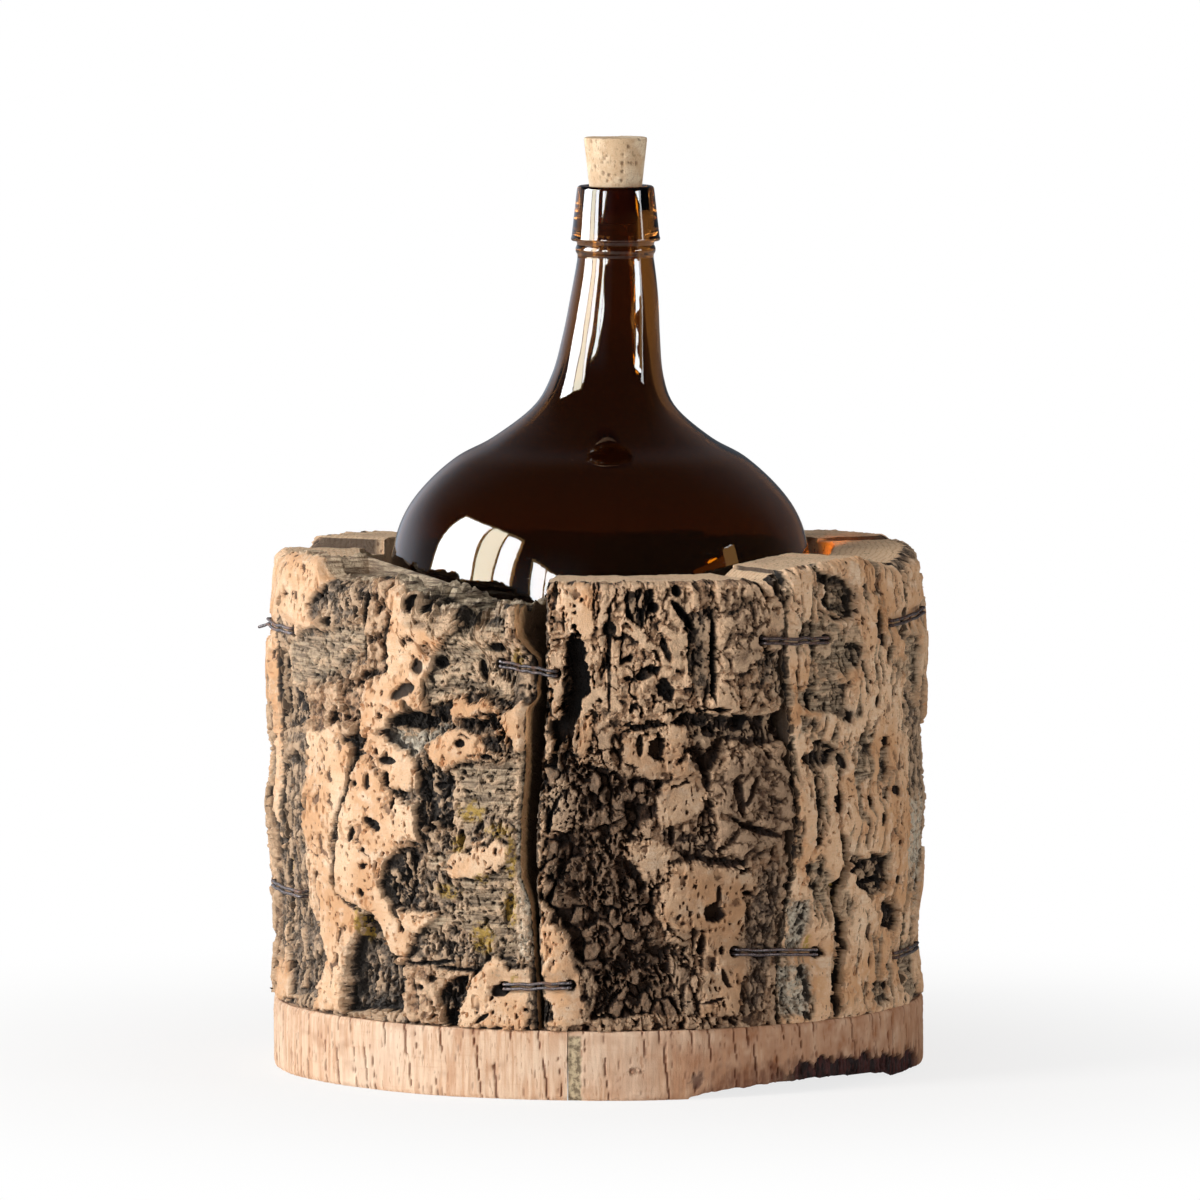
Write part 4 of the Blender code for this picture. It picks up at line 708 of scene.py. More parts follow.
        ("skin", 1.6, [(46, 161), (53.3, 169), (63, 163), (64.6, 133), (58.5, 125), (49.2, 137)]),
        ("dark", -3.4, [(50.3, 127), (62, 126), (63.3, 106), (56.6, 101), (52.1, 111)]),
        ("skin", 1.4, [(62, 110), (72, 109), (76.2, 76), (72.6, 63), (78.7, 37), (64.2, 41), (62.9, 74)]),
        ("dark", -3.4, [(60, 97), (64.5, 101), (67.8, 93), (69.8, 86), (66.4, 80), (62.9, 84)]),
        ("white", -0.9, [(35.5, 107), (40.2, 106), (40.9, 96), (39, 78), (35.7, 78)]),
        ("skin", 2.2, [(40.7, 99), (45.1, 100), (47.2, 77), (45.9, 63), (45.3, 40), (40.7, 40), (40.9, 60),
            (37.9, 74), (39.5, 85)]),
        ("white", -0.7, [(33.9, 72), (40.3, 70), (40.9, 59), (40.3, 40), (34.5, 43)]),
        ("dark", -6, [(45.5, 168), (46.7, 142), (48.5, 137), (50.6, 123), (47.2, 103), (49.9, 91),
            (49.2, 71), (47.9, 42), (45.6, 40), (45.7, 61), (47.6, 77), (45.6, 97), (45.1, 111), (47.8, 122),
            (46, 142)]),
        ("skin", 2.6, [(52.7, 108), (56.8, 100), (61.3, 81), (62.3, 61), (57.7, 54), (56.9, 38), (49, 39),
            (48.4, 54), (51.4, 79), (49.9, 91)]),
        ("streak", -1, [(57.5, 54), (62.3, 55), (64.4, 41), (57.5, 41)]),
    ],
}

# Patches on the panels at the sides and the back are drawn at random: how common each kind is, and its
# level in millimetres
sidePatches = {
    "count": 16,
    "kinds": {"skin": (0.30, 2.3), "crust": (0.22, -1.6), "dark": (0.13, -4.1), "streak": (0.13, -0.8),
              "block": (0.07, 0.4), "white": (0.06, -1.4), "boulder": (0.05, 2.4), "sponge": (0.04, -3.9)},
    "halfWidth": (9, 23),
    "halfHeight": (17, 45),
    "height": (48, 275),
    "fromSeam": 2,
    "lean": 13,
    "unevenLevel": 0.7,
    "soft": (0.14, 0.35),
    "seed": 4100,
}

# Holes, slots and cracks: azimuth, height, half width, half height, lean and depth
barkHoles = {
    "bark_front_left": [
        (-55.5, 256, 4.4, 2.5, 0, 7), (-34.4, 270, 3.1, 4.8, 10, 7), (-31.7, 268, 2.6, 2.8, 0, 6),
        (-30.3, 246, 4.5, 3.4, 0, 2.2), (-27.7, 239, 3.8, 3.4, 0, 4.5), (-31.9, 236, 3.3, 5, 5, 3),
        (-34.9, 222, 8.9, 3.4, -30, 3), (-31.7, 259, 5.3, 2.2, 0, 1.6), (-34, 250, 4.1, 2.8, 0, 1.6),
        (-17.4, 248, 5.3, 2.5, 0, 5), (-24.1, 195, 2.8, 2.2, 0, 4), (-19.3, 188, 3.6, 1.5, 0, 4),
        (-33.6, 206, 14.1, 3.9, 0, 6), (-23.5, 179, 1.3, 1.2, 0, 3), (-28.2, 171, 3.8, 1.7, 0, 3),
        (-46.2, 169, 2.8, 1.9, 0, 4), (-42.8, 171, 2.3, 5, 5, 3), (-38.8, 173, 2.2, 4.5, -12, 5),
        (-41.4, 148, 6, 2.8, 25, 5.5), (-46.3, 141, 2.4, 5, 25, 4), (-43.5, 133, 1.7, 1.2, 0, 3),
        (-43.5, 124, 2.5, 1.8, 0, 4), (-44.5, 109, 2, 2.8, -25, 4), (-78.6, 183, 11.2, 1.9, 0, 5),
        (-82.4, 170, 6.7, 3.9, 0, 5), (-16.9, 60, 5.3, 3.4, -10, 6), (-26.6, 43, 5, 3.9, 0, 7),
        (-32.8, 59, 2.7, 1.4, 0, 4), (-20.2, 44, 5.4, 1.4, -35, 3.5), (-44.7, 259, 1.7, 19, 0, 6),
        (-47.8, 172, 2.2, 16.8, 8, 2.8), (-50.3, 143, 2.3, 19, 9, 3.2), (-51.7, 118, 2.3, 11.2, 4, 2.4),
        (-73.5, 228, 6.7, 7.8, 0, 5), (-72.9, 208, 7.6, 10.1, 4, 5), (-26.4, 273, 3.7, 2.2, 0, 4),
        (-25.3, 70, 12.4, 1.1, 3, 3.5), (-30.2, 73, 13, 1.2, -6, 3), (-37.3, 100, 2.1, 4.5, -30, 3),
        (-42.8, 96, 2.3, 1.7, 0, 3), (-23.7, 143, 1.8, 5, 0, 6), (-39, 183, 5.8, 2.2, 0, 4)],
    "bark_front": [
        (10, 270, 2.8, 2.8, 0, 7), (13.9, 279, 2.9, 3.1, 0, 7), (15.1, 266, 2.3, 10.1, -38, 7),
        (20.6, 244, 1.6, 24.6, 0, 7.5), (15.8, 248, 1, 14.6, 0, 4), (2.1, 245, 1.2, 28, 0, 3.4),
        (10.4, 192, 5.1, 5.6, 0, 9), (7.4, 195, 1.9, 6.2, 0, 5), (21, 102, 5.4, 4.5, 0, 9),
        (21.3, 111, 1.4, 7.3, -3, 5), (18.6, 85, 2.4, 5.6, 0, 8), (22.3, 81, 1.6, 2.6, 0, 6),
        (25.1, 80, 3.7, 2.5, 0, 7), (-5.7, 63, 3.1, 2.2, 0, 7), (-2.4, 56, 2.2, 1.7, 25, 5),
        (-3.9, 231, 5.7, 24.6, 4, 13), (-2.6, 275, 1.1, 1.1, 0, 3), (-3.8, 268, 1.1, 1.1, 0, 2.5),
        (25.8, 206, 5.5, 3.8, -14, 5), (33.8, 205, 4.4, 5.8, 10, 5), (20, 201, 4.6, 2.6, 20, 4),
        (29.4, 146, 15.3, 1.8, 17, 4), (27.4, 168, 1.8, 9.6, 26, 4), (24.8, 176, 4.6, 1.4, -30, 3),
        (6, 162, 5, 3, 10, 4), (2.3, 259, 3.4, 3.9, 0, 4), (33.2, 280, 3.4, 5.2, 0, 6),
        (8.8, 235, 6.8, 2.8, -25, 4.5), (12, 225, 4, 6.7, -20, 5), (20.3, 53, 7.2, 0.9, -12, 3),
        (20.1, 74, 4.2, 3.9, 0, 2), (16.2, 127, 1.2, 1.1, 0, 2)],
    "bark_front_right": [
        (44.2, 249, 3.9, 2.5, 0, 6), (42.6, 76, 4.6, 3.4, 0, 6), (57.8, 255, 3.8, 8.4, 4, 5.5),
        (60.7, 236, 3.4, 5, 30, 5), (59.2, 245, 2.6, 4.5, 0, 4), (67.4, 227, 3.8, 5, 22, 5),
        (63, 216, 3.7, 3.9, -15, 4.5), (68.9, 237, 3.4, 5, 20, 4.5), (50.5, 269, 2.6, 2.2, 0, 3),
        (54.6, 223, 1.9, 1.1, 0, 2.5), (49.4, 205, 1.7, 3.4, 10, 3.5), (70, 204, 5.6, 3.4, 35, 5),
        (56.5, 212, 2.4, 3.9, 20, 4), (47.3, 181, 2.5, 5, -30, 4), (53.4, 195, 2.4, 6.7, 10, 3.5),
        (60.7, 188, 5, 3.9, 0, 5.5), (46.3, 160, 2.8, 8.4, 0, 5), (47.9, 134, 2.5, 6.7, -8, 5),
        (54.7, 157, 2.9, 3.4, 0, 5), (58.6, 146, 3.2, 3.9, 10, 5), (63.9, 160, 3.8, 2.8, 0, 4),
        (52.3, 120, 7.3, 1.9, -8, 5), (57.7, 112, 9.4, 1.7, 0, 5), (56.1, 68, 2, 4.5, 8, 3),
        (56, 84, 3, 5.6, 6, 2.2), (70.3, 59, 4, 4.5, -10, 5), (65.7, 110, 4.1, 2.8, 0, 4),
        (62.9, 52, 2.5, 2.8, 0, 4), (47.2, 46, 3.3, 6.7, 0, 6)],
}

# Yellow lichen: azimuth, height, half width, half height
barkLichen = {
    "bark_front_left": [
        (-24.2, 140, 4, 5), (-14.8, 134, 3, 12), (-20, 121, 5, 4), (-26.5, 113, 8, 5), (-15, 106, 4, 13),
        (-20.5, 88, 8, 9), (-13.6, 243, 3, 6), (-14.5, 64, 3, 5), (-47, 90, 4, 9), (-22, 157, 8, 6),
        (-17, 148, 8, 4), (-52, 112, 3, 3), (-71, 116, 3, 4)],
    "bark_front_right": [
        (40, 82, 3, 4), (47, 110, 2, 6)],
}


# Further holes are drawn at random: how many on the front panels and on the others, and their measures
scatterHoles = {
    "front": (12, 16, 6),
    "other": 60,
    "tallShare": 0.55,
    "halfWidth": (0.9, 2.6),
    "height": (44, 284),
    "tall": (2.0, 5.0),
    "round": (0.7, 1.3),
    "lean": 25,
    "deep": (2.5, 5.5),
    "seed": 7000,
}


def readTable(table, share):
    return np.interp(share, [a for a, b in table], [b for a, b in table])


def seamAzimuth(seam, height):
    middle, wander, crest = seam
    above = np.minimum(height - casing["boardTop"], barkHeight - casing["seamStraight"])
    return middle + wander * np.cos(2 * math.pi * (above - crest) / casing["seamWave"])


def barrelRadius(height):
    return casing["radius"] + readTable(casing["barrel"], (height - casing["boardTop"]) / barkHeight)


def turnBetween(first, second):
    return (first - second + 180) % 360 - 180


def along(degrees):
    # arc on the casing in millimetres
    return np.radians(degrees) * (casing["radius"] * 1000)


def panelEnds(index):
    # azimuths of the middles of a panel's two seams, the second one past the first
    start, end = casing["seams"][index][0], casing["seams"][(index + 1) % 8][0]
    return start, end + (360 if index == 7 else 0)


# wire stitches: where they lie, because the bark is flat under them

wireSettings = {
    "diameter": 0.0018,
    "pitch": 0.0026,
    "gap": 0.0005,
    "bend": 0.0022,
    "tail": 0.009,
    "upper": [(0, 0.029, 0.034, 0.038, 0.000, True), (1, 0.023, 0.0075, 0.049, -0.005, False),
              (2, 0.0135, 0.030, 0.0365, -0.002, False), (3, 0.022, 0.042, 0.0315, 0.002, False),
              (4, 0.018, 0.020, 0.042, 0.001, False), (5, 0.022, 0.017, 0.036, -0.002, False),
              (6, 0.017, 0.024, 0.045, 0.002, False), (7, 0.021, 0.019, 0.040, 0.000, False)],
    "lower": [(0, 0.033, 0.028, 0.064, 0.000, False), (1, 0.020, 0.0175, 0.0245, 0.0015, False),
              (2, 0.028, 0.026, 0.040, -0.0035, False), (3, 0.013, 0.040, 0.029, 0.000, False),
              (4, 0.020, 0.018, 0.034, 0.001, False), (5, 0.018, 0.021, 0.028, 0.000, False),
              (6, 0.022, 0.019, 0.038, -0.001, False), (7, 0.019, 0.022, 0.032, 0.001, False)],
}


def placeStitches():
    placed = []
    for level in ("upper", "lower"):
        for seam, left, right, drop, rise, tail in wireSettings[level]:
            height = casing["rim"] - drop if level == "upper" else casing["boardTop"] + drop
            middle = float(seamAzimuth(casing["seams"][seam], height))
            placed.append({
                "name": f"wire_{level}_{seam + 1}",
                "seam": seam, "height": height, "rise": rise, "tail": tail,
                "left": middle - math.degrees(left / casing["radius"]),
                "right": middle + math.degrees(right / casing["radius"])})
    return placed


stitches = placeStitches()


# relief of the bark

reliefSettings = {
    "highest": 3.4,
    "lowest": -15.5,
    "edgeNoise": 0.34,
}

# kinds of bark: smooth skin, grey crust, dark rotten crust that partly stands for painted shade in deep
# recesses, grey layers, brown crumbling bark that is full of holes, broken blocks, round lumps, and pale
# crust
kindList = ["skin", "crust", "dark", "streak", "sponge", "block", "boulder", "white"]


def outlineDistance(s, z, points):
    # how far places lie inside an outline, in millimetres, negative outside it
    corners = [(float(along(azimuth)), height) for azimuth, height in points]
    best = np.full(s.shape, 1e9)
    inside = np.zeros(s.shape, bool)
    for (ax, ay), (bx, by) in zip(corners, corners[1:] + corners[:1]):
        dx, dy = bx - ax, by - ay
        t = np.clip(((s - ax) * dx + (z - ay) * dy) / max(dx * dx + dy * dy, 1e-6), 0, 1)
        best = np.minimum(best, np.hypot(s - ax - t * dx, z - ay - t * dy))
        if dy:
            inside ^= ((z < ay) != (z < by)) & (s < ax + (z - ay) * dx / dy)
    return np.where(inside, best, -best)


def scatteredHoles(index, start, end, count):
    w = scatterHoles
    rng = np.random.default_rng(w["seed"] + index)
    result = []
    for _ in range(count):
        tall = rng.uniform(0, 1) < w["tallShare"]
        wide = rng.uniform(*w["halfWidth"])
        azimuth, height = rng.uniform(start, end), rng.uniform(*w["height"])
        high = wide * rng.uniform(*w["tall" if tall else "round"])
        lean = rng.uniform(-w["lean"], w["lean"])
        result.append((azimuth, height, wide, high, lean, rng.uniform(*w["deep"])))
    return result


def scatteredPatches(index, start, end):
    # kind, azimuth, height, half width, half height, lean, level and softness of the edge, largest first
    p = sidePatches
    rng = np.random.default_rng(p["seed"] + index)
    kinds = list(p["kinds"])
    common = np.array([p["kinds"][kind][0] for kind in kinds])
    result = []
    for _ in range(p["count"]):
        kind = kinds[rng.choice(len(kinds), p=common / common.sum())]
        result.append((
            kind, rng.uniform(start + p["fromSeam"], end - p["fromSeam"]), rng.uniform(*p["height"]),
            rng.uniform(*p["halfWidth"]), rng.uniform(*p["halfHeight"]), rng.uniform(-p["lean"], p["lean"]),
            p["kinds"][kind][1] + rng.uniform(-p["unevenLevel"], p["unevenLevel"]), rng.uniform(*p["soft"])))
    return sorted(result, key=lambda row: -row[3] * row[4])


def kindRelief(kind, s, z, seed, calm):
    # height of one kind of bark, in millimetres over its level, at places in millimetres
    ws = s + 3.2 * cloud(s / 14, z / 18, seed + 5, 3, 0.6)
    wz = z + 3.2 * cloud(s / 13, z / 17, seed + 9, 3, 0.6)
    if kind == "skin":
        h = 1.2 * cloud(ws / 24, wz / 44, seed + 1) + 0.35 * cloud(ws / 3.6, wz / 15, seed + 2, 4, 0.62)
        density = (0.80 if calm else 0.62) - 0.34 * cloud(s / 24, z / 32, seed + 6, 2)
        if calm:
            ripple = 0.7 * cloud(ws / 9, wz / 38, seed + 17, 2, 0.5)
            h += ripple - 1.2 * veins(ws / 11, wz / 42, seed + 18, 0.05, 2)
        near, _, number, _, _ = cells(ws / 4.3, wz / 7.0, seed + 3)
        poreSize = 0.05 + 0.16 * np.clip((number - density) / 0.4, 0, 1)
        h -= 3.0 * smooth((poreSize - near) / 0.08 + 0.5) * (number > density)
        _, _, number, dx, dy = cells(ws / 2.7, wz / 5.2, seed + 10)
        dash = 1.5 * smooth((0.20 - np.abs(dx)) / 0.14) * smooth((0.34 - np.abs(dy)) / 0.12)
        h -= dash * (number > density + 0.12)
        h -= 1.6 * smooth((cloud(ws / 10, wz / 15, seed + 4, 3) - 0.36) / 0.06)
        gash = 2.2 * veins(ws / 17, wz / 40, seed + 7, 0.035)
        return h - gash * smooth(cloud(s / 20, z / 30, seed + 8) * 3)
    if kind in ("crust", "dark"):
        strong = 1.0 if kind == "crust" else 1.3
        h = 2.0 * cloud(ws / 8.5, wz / 14, seed + 11, 4, 0.62)
        h -= 3.2 * veins(ws / 8, wz / 30, seed + 12, 0.13, 3, 0.6)
        h -= 1.8 * veins(ws / 16, wz / 7, seed + 13, 0.06)
        _, _, number, _, _ = cells(ws / 4.6, wz / 6.2, seed + 15)
        return strong * (h + 1.5 * (number - 0.5) + 0.6 * cloud(s / 2.2, z / 2.5, seed + 14, 2))
    if kind == "streak":
        calm = smooth(cloud(s / 15, z / 13, seed + 26, 2) * 2.5 + 0.5)
        h = 1.5 * cloud(ws / 18, wz / 5.5, seed + 21, 4, 0.62)
        h = h + 0.5 * calm * cloud(ws / 9, wz / 1.7, seed + 22, 3)
        _, _, number, _, dy = cells(ws / 12, wz / 4.6, seed + 25)
        h += 1.7 * (number - 0.5) + 0.8 * (number - 0.5) * dy
        pits = smooth((cloud(ws / 5, wz / 4, seed + 27, 3, 0.6) - 0.36) / 0.08)
        h = h - 2.0 * veins(ws / 13, wz / 22, seed + 23, 0.035, 3, 0.6) - 2.2 * pits
        return h + 0.5 * cloud(s / 2.4, z / 2.2, seed + 24, 3, 0.6)
    if kind == "sponge":
        first = cloud(ws / 10.5, wz / 12.5, seed + 31, 3, 0.6)
        other = cloud(ws / 8.5, wz / 9.5, seed + 32, 3, 0.6)
        web = np.minimum(np.abs(first), 1.2 * np.abs(other))
        wall = smooth((web - 0.02 - 0.05 * cloud(s / 12, z / 12, seed + 36)) / 0.15)
        deep = 5.2 + 5.5 * cloud(s / 15, z / 19, seed + 35, 2)
        pockets = smooth((cloud(ws / 11, wz / 17, seed + 37, 4, 0.62) - 0.10) / 0.16)
        h = 1.0 - wall * np.clip(deep, 1.5, 10)
        near, second, number, dx, dy = cells(ws / 7.5, wz / 9.5, seed + 38)
        lump = 5.0 * (number - 0.62) + 3.0 * (number - 0.4) * dx - 3.2 * dy * (number - 0.3)
        lump = lump - 4.5 * smooth(1 - (second - near) / 0.20) - 4.5 * (number < 0.34)
        chunky = smooth(cloud(s / 17, z / 21, seed + 39, 2) * 3.0 + 0.62)
        h = h + (lump - h) * chunky - 5.0 * pockets
        tiny = cloud(s / 3.0, z / 3.4, seed + 34, 3, 0.65)
        return h + 3.0 * cloud(s / 17, z / 22, seed + 33) + 1.4 * tiny + 2.0
    if kind == "block":
        _, _, number, dx, dy = cells(ws / 13, wz / 23, seed + 41)
        h = 5.6 * (number - 0.5) + 3.0 * (number - 0.45) * dx - 3.2 * dy * (0.5 - number)
        near, second, number, _, dy = cells(ws / 6.2, wz / 8.8, seed + 42)
        h += 3.0 * (number - 0.5) + 1.6 * (number - 0.5) * dy
        cracked = smooth(cloud(s / 15, z / 18, seed + 44, 2) * 3.0 + 0.1)
        h -= 3.0 * smooth(1 - (second - near) / 0.10) * cracked
        _, _, number, _, _ = cells(s / 2.8, z / 3.8, seed + 46)
        h += 1.3 * (number - 0.5)
        fissure = 5.5 * veins(ws / 15, wz / 50, seed + 45, 0.07)
        h -= fissure * smooth(cloud(s / 24, z / 40, seed + 47) * 3 + 0.6)
        hollow = smooth((cloud(ws / 9, wz / 11, seed + 48, 3, 0.6) - 0.34) / 0.10)
        layer = cloud(ws / 11, wz / 1.7, seed + 49, 3, 0.6)
        h += 0.9 * (layer * smooth(cloud(s / 16, z / 20, seed + 40) * 3 + 0.6))
        return h - 4.5 * hollow + 1.1 * cloud(s / 3.4, z / 4.4, seed + 43, 4, 0.62)
    if kind == "boulder":
        lumps = np.sqrt(np.abs(cloud(ws / 19, wz / 21, seed + 51, 2, 0.5)) + 0.002)
        small = np.sqrt(np.abs(cloud(ws / 6.5, wz / 7, seed + 52, 3, 0.6)) + 0.002)
        h = 7.0 * lumps + 2.8 * small - 5.0 - 2.2 * veins(ws / 11, wz / 13, seed + 54, 0.06, 3, 0.6)
        return np.minimum(h, 2.0 + 0.3 * h) + 1.1 * cloud(s / 3.2, z / 3.6, seed + 53, 4, 0.65)
    h = 2.2 * np.abs(cloud(ws / 4.2, wz / 4.6, seed + 61, 3, 0.6)) - 0.9
    _, _, number, _, _ = cells(ws / 4.4, wz / 4.8, seed + 63)
    return h + 1.6 * (number - 0.5) - 1.8 * veins(ws / 7, wz / 7, seed + 62, 0.08, 2)


def chippedPlaces(s, z, seed):
    # places pulled towards scattered centres, so that what is drawn with them breaks along straight chips
    (wide, high), (smallWide, smallHigh) = (9.5, 12.5), (3.7, 4.6)
    _, _, _, dx, dy = cells(s / wide, z / high, seed)
    _, _, _, smallX, smallY = cells(s / smallWide, z / smallHigh, seed + 7)
    return 0.62 * dx * wide + 0.5 * smallX * smallWide, 0.62 * dy * high + 0.5 * smallY * smallHigh


def blendKind(weights, level, kind, rise, inside):
    # lets one kind of bark take over where the patch is, and returns the new level
    for other in kindList:
        weights[other] *= 1 - inside
    weights[kind] += inside
    return level * (1 - inside) + rise * inside


def patchShape(azimuth, z, row, noise, power=2.6, pull=(0, 0)):
    # less than one inside a patch, more outside it, with a ragged edge
    az, height, halfWidth, halfHeight, lean = row
    ds = along(turnBetween(azimuth, az)) - pull[0]
    dz = z - height - pull[1]
    c, n = math.cos(math.radians(lean)), math.sin(math.radians(lean))
    across, up = ds * c - dz * n, ds * n + dz * c
    return (np.abs(across / halfWidth) ** power + np.abs(up / halfHeight) ** power) ** (1 / power) + noise


def barkRelief(index, panel, azimuth, height, share):
    # height over the barrel in millimetres, and masks for the material, on a grid of places
    name = panel["name"]
    s, z = along(azimuth), height * 1000
    seed = 100 * (index + 1)
    weights = {kind: np.zeros(s.shape) for kind in kindList}
    weights[panel["base"]] += 1
    level = np.full(s.shape, panel["level"])
    rag = 0.62 * cloud(s / 11, z / 13, seed + 71, 4, 0.6) + 0.38 * cloud(s / 3.6, z / 4.2, seed + 72, 3, 0.6)
    front = name in barkOutlines
    holes = list(barkHoles.get(name, []))
    count = scatterHoles["front"][index] if front else scatterHoles["other"]
    holes += scatteredHoles(index, panel["start"], panel["end"], count)
    pulls = [chippedPlaces(s, z, seed + 90), chippedPlaces(s + 400, z + 300, seed + 92)]
    warps = [cloud(s / 7.5, z / 8.5, seed + 94 + turn, 4, 0.62) for turn in range(3)]
    frays = [cloud(s / 4.6, z / 6.5, seed + 97 + turn, 4, 0.66) - 0.1 for turn in range(3)]
    for number, (kind, rise, points) in enumerate(barkOutlines.get(name, [])):
        pullX, pullY = pulls[number % 2]
        warpX = 0.42 * pullX + 1.9 * warps[number % 3]
        warpY = 0.42 * pullY + 1.9 * warps[(number + 1) % 3]
        distance = outlineDistance(s + warpX, z + warpY, points) + 1.7 * frays[number % 3]
        edge = 2.6 if kind in ("streak", "white") else 1.0
        inside = 0.78 * smooth(distance / edge + 0.5) + 0.22 * smooth(distance / 7 + 0.4)
        level = blendKind(weights, level, kind, rise, inside)
    patches = [] if front else scatteredPatches(index, panel["start"], panel["end"])
    for number, (kind, az, zMid, halfWidth, halfHeight, lean, rise, soft) in enumerate(patches):
        edge = rag * reliefSettings["edgeNoise"] * (1 if number % 2 else -1)
        wanders = cloud(s / 21, z / 25, seed + 53 + number, 2), cloud(s / 19, z / 27, seed + 33 + number, 2)
        drift = [0.42 * pulls[number % 2][axis] + 1.9 * warps[(number + axis) % 3] + 7.5 * wanders[axis]
                 for axis in (0, 1)]
        shape = patchShape(azimuth, z, (az, zMid, halfWidth, halfHeight, lean), edge, 2.2, drift)
        inside = smooth((1 - shape) * min(halfWidth, halfHeight) / 1.9 + 0.5)
        inside = inside * 0.75 + 0.25 * smooth((1 - shape) / soft + 0.5)
        level = blendKind(weights, level, kind, rise, inside)
    if index == 2:
        # grey veins run down the front right panel
        wander = 0.9 * cloud(s / 22, z / 26, seed + 19, 2)
        vein = 0.85 * smooth((cloud(s / 6.5 + wander, z / 44, seed + 16, 3, 0.62) - 0.16) / 0.12)
        weights["streak"] = weights["streak"] + weights["skin"] * vein
        weights["skin"] = weights["skin"] * (1 - vein)
        level = level - 1.9 * vein
    h = level * 1.25 - 0.6 + 0.9 * cloud(s / 34, z / 44, seed + 73)
    for kind in kindList:
        if weights[kind].max() > 0:
            h += weights[kind] * kindRelief(kind, s, z, seed, index == 2)
    if index == 0:
        # broken layers go down in stairs from the rim near the right end of the front left panel
        below = (casing["rim"] + readTable(panel["rim"], share)) * 1000 - z
        uneven = below + 2.6 * cloud(s / 12, z * 0 + 2.2, seed + 77, 3)
        stair = (uneven + 0.8 * cloud(s / 3, z / 3, seed + 78, 2)) / 3.9
        stair = np.floor(stair) + smooth((stair - np.floor(stair)) / 0.22) - 1
        broken = smooth((share - 0.66) / 0.05) * smooth((0.965 - share) / 0.03)
        h = h - broken * np.clip(7.6 - 1.7 * stair, 0, 8.2)
        layered = broken * smooth((24 - below) / 5)
        for kind in kindList:
            weights[kind] = weights[kind] * (1 - 0.8 * layered)
        weights["streak"] = weights["streak"] + 0.8 * layered
    depth = np.zeros(s.shape)
    for az, zMid, halfWidth, halfHeight, lean, deep in holes:
        big = min(max(min(halfWidth, halfHeight) - 2.4, 0) / 3, 1)
        pull = (pulls[0][0] * 0.45 * big, pulls[0][1] * 0.45 * big)
        noise = rag * (0.35 + 0.3 * big)
        shape = patchShape(azimuth, z, (az, zMid, halfWidth, halfHeight, lean), noise, 2.0, pull)
        depth = np.maximum(depth, deep * smooth((1.18 - shape) / (0.42 - 0.2 * big)))
    h -= depth
    # worn edges beside the seams and at the rim and the foot
    width = along(panel["end"] - panel["start"])
    side = np.minimum(share, 1 - share) * width
    chip = 1.2 + 0.9 * cloud(s / 9, z / 9, seed + 74)
    h -= (1.8 + 1.0 * chip) * np.clip(1 - side / (2.6 * chip.clip(0.3)), 0, 1) ** 2
    crumbs = cloud(s / 3.1, z / 4.2, seed + 75, 3, 0.62)
    h -= 2.4 * np.clip(crumbs + 0.2, 0, 1) * np.exp(-side / 3.5)
    # flat under the wire stitches, and pierced where they enter
    for stitch in stitches:
        if stitch["seam"] in (index, (index + 1) % 8):
            middle, half = (stitch["left"] + stitch["right"]) / 2, (stitch["right"] - stitch["left"]) / 2
            beyond = np.maximum(np.abs(along(turnBetween(azimuth, middle))) - along(half) - 1.5, 0)
            above = np.maximum(np.abs(z - stitch["height"] * 1000) - 3.2 - abs(stitch["rise"]) * 500, 0)
            flat = barrelRadius(stitch["height"]) * 1000 - barrelRadius(height) * 1000 - panel["proud"] * 1000
            h = np.minimum(h, flat - 0.35 + 0.55 * np.hypot(beyond, above))
            for az, rise in ((stitch["left"], -0.5), (stitch["right"], 0.5)):
                ds = along(turnBetween(azimuth, az))
                dz = z - (stitch["height"] + rise * stitch["rise"]) * 1000
                h -= 8.0 * smooth((2.9 - np.hypot(ds, dz) + 0.7 * rag) / 1.2 + 0.3)
    top, low = reliefSettings["highest"], reliefSettings["lowest"]
    h = np.where(h > top - 1, top - 1 + np.tanh(h - top + 1), h)
    h = np.where(h < low + 3, low + 3 * np.exp((h - low - 3) / 3), h)
    # depth below the softened surface, small and wide: the material paints shade into hollows from it and
    # cleans raised edges
    cavity = blurred(h, 5) - h
    wide = blurred(h, 16) - h
    masks = dict(weights)
    masks["cavity"] = np.clip(cavity / 3.0, -1, 1)
    masks["hollow"] = np.clip(wide / 6.0, -1, 1)
    # holes by their depth, and strips beside the seams, which the material paints darkest: painted shade
    bare = (share > 0.5) if index == 0 else (share > 2)
    seamShade = 0.8 * smooth((1.5 - side + 2.6 * np.clip(crumbs + 0.25 * chip, -1, 1)) / 1.6) * ~bare
    masks["pit"] = np.maximum(np.clip(depth / 4.0, 0, 1), seamShade)
    lichen = np.zeros(s.shape)
    for az, zMid, halfWidth, halfHeight in barkLichen.get(name, []):
        shape = patchShape(azimuth, z, (az, zMid, halfWidth, halfHeight, 0), rag * 0.6, 2.0)
        lichen = np.maximum(lichen, smooth((1.15 - shape) / 0.5))
    masks["lichen"] = lichen
    # the lower part of the front panel is painted darker brown: partly dirt, partly painted shade where it
    # faces away from the key light
    masks["dirtAndShade"] = np.zeros(s.shape)
    if index == 1:
        low = smooth((216 - z + 14 * rag) / 26)
        masks["dirtAndShade"] = low * smooth((share - 0.04 + 0.05 * rag) / 0.10) * (0.8 + 0.4 * rag)
    return h, masks


# bark panels: a flat slab extruded from a fine grid, then bent and roughened

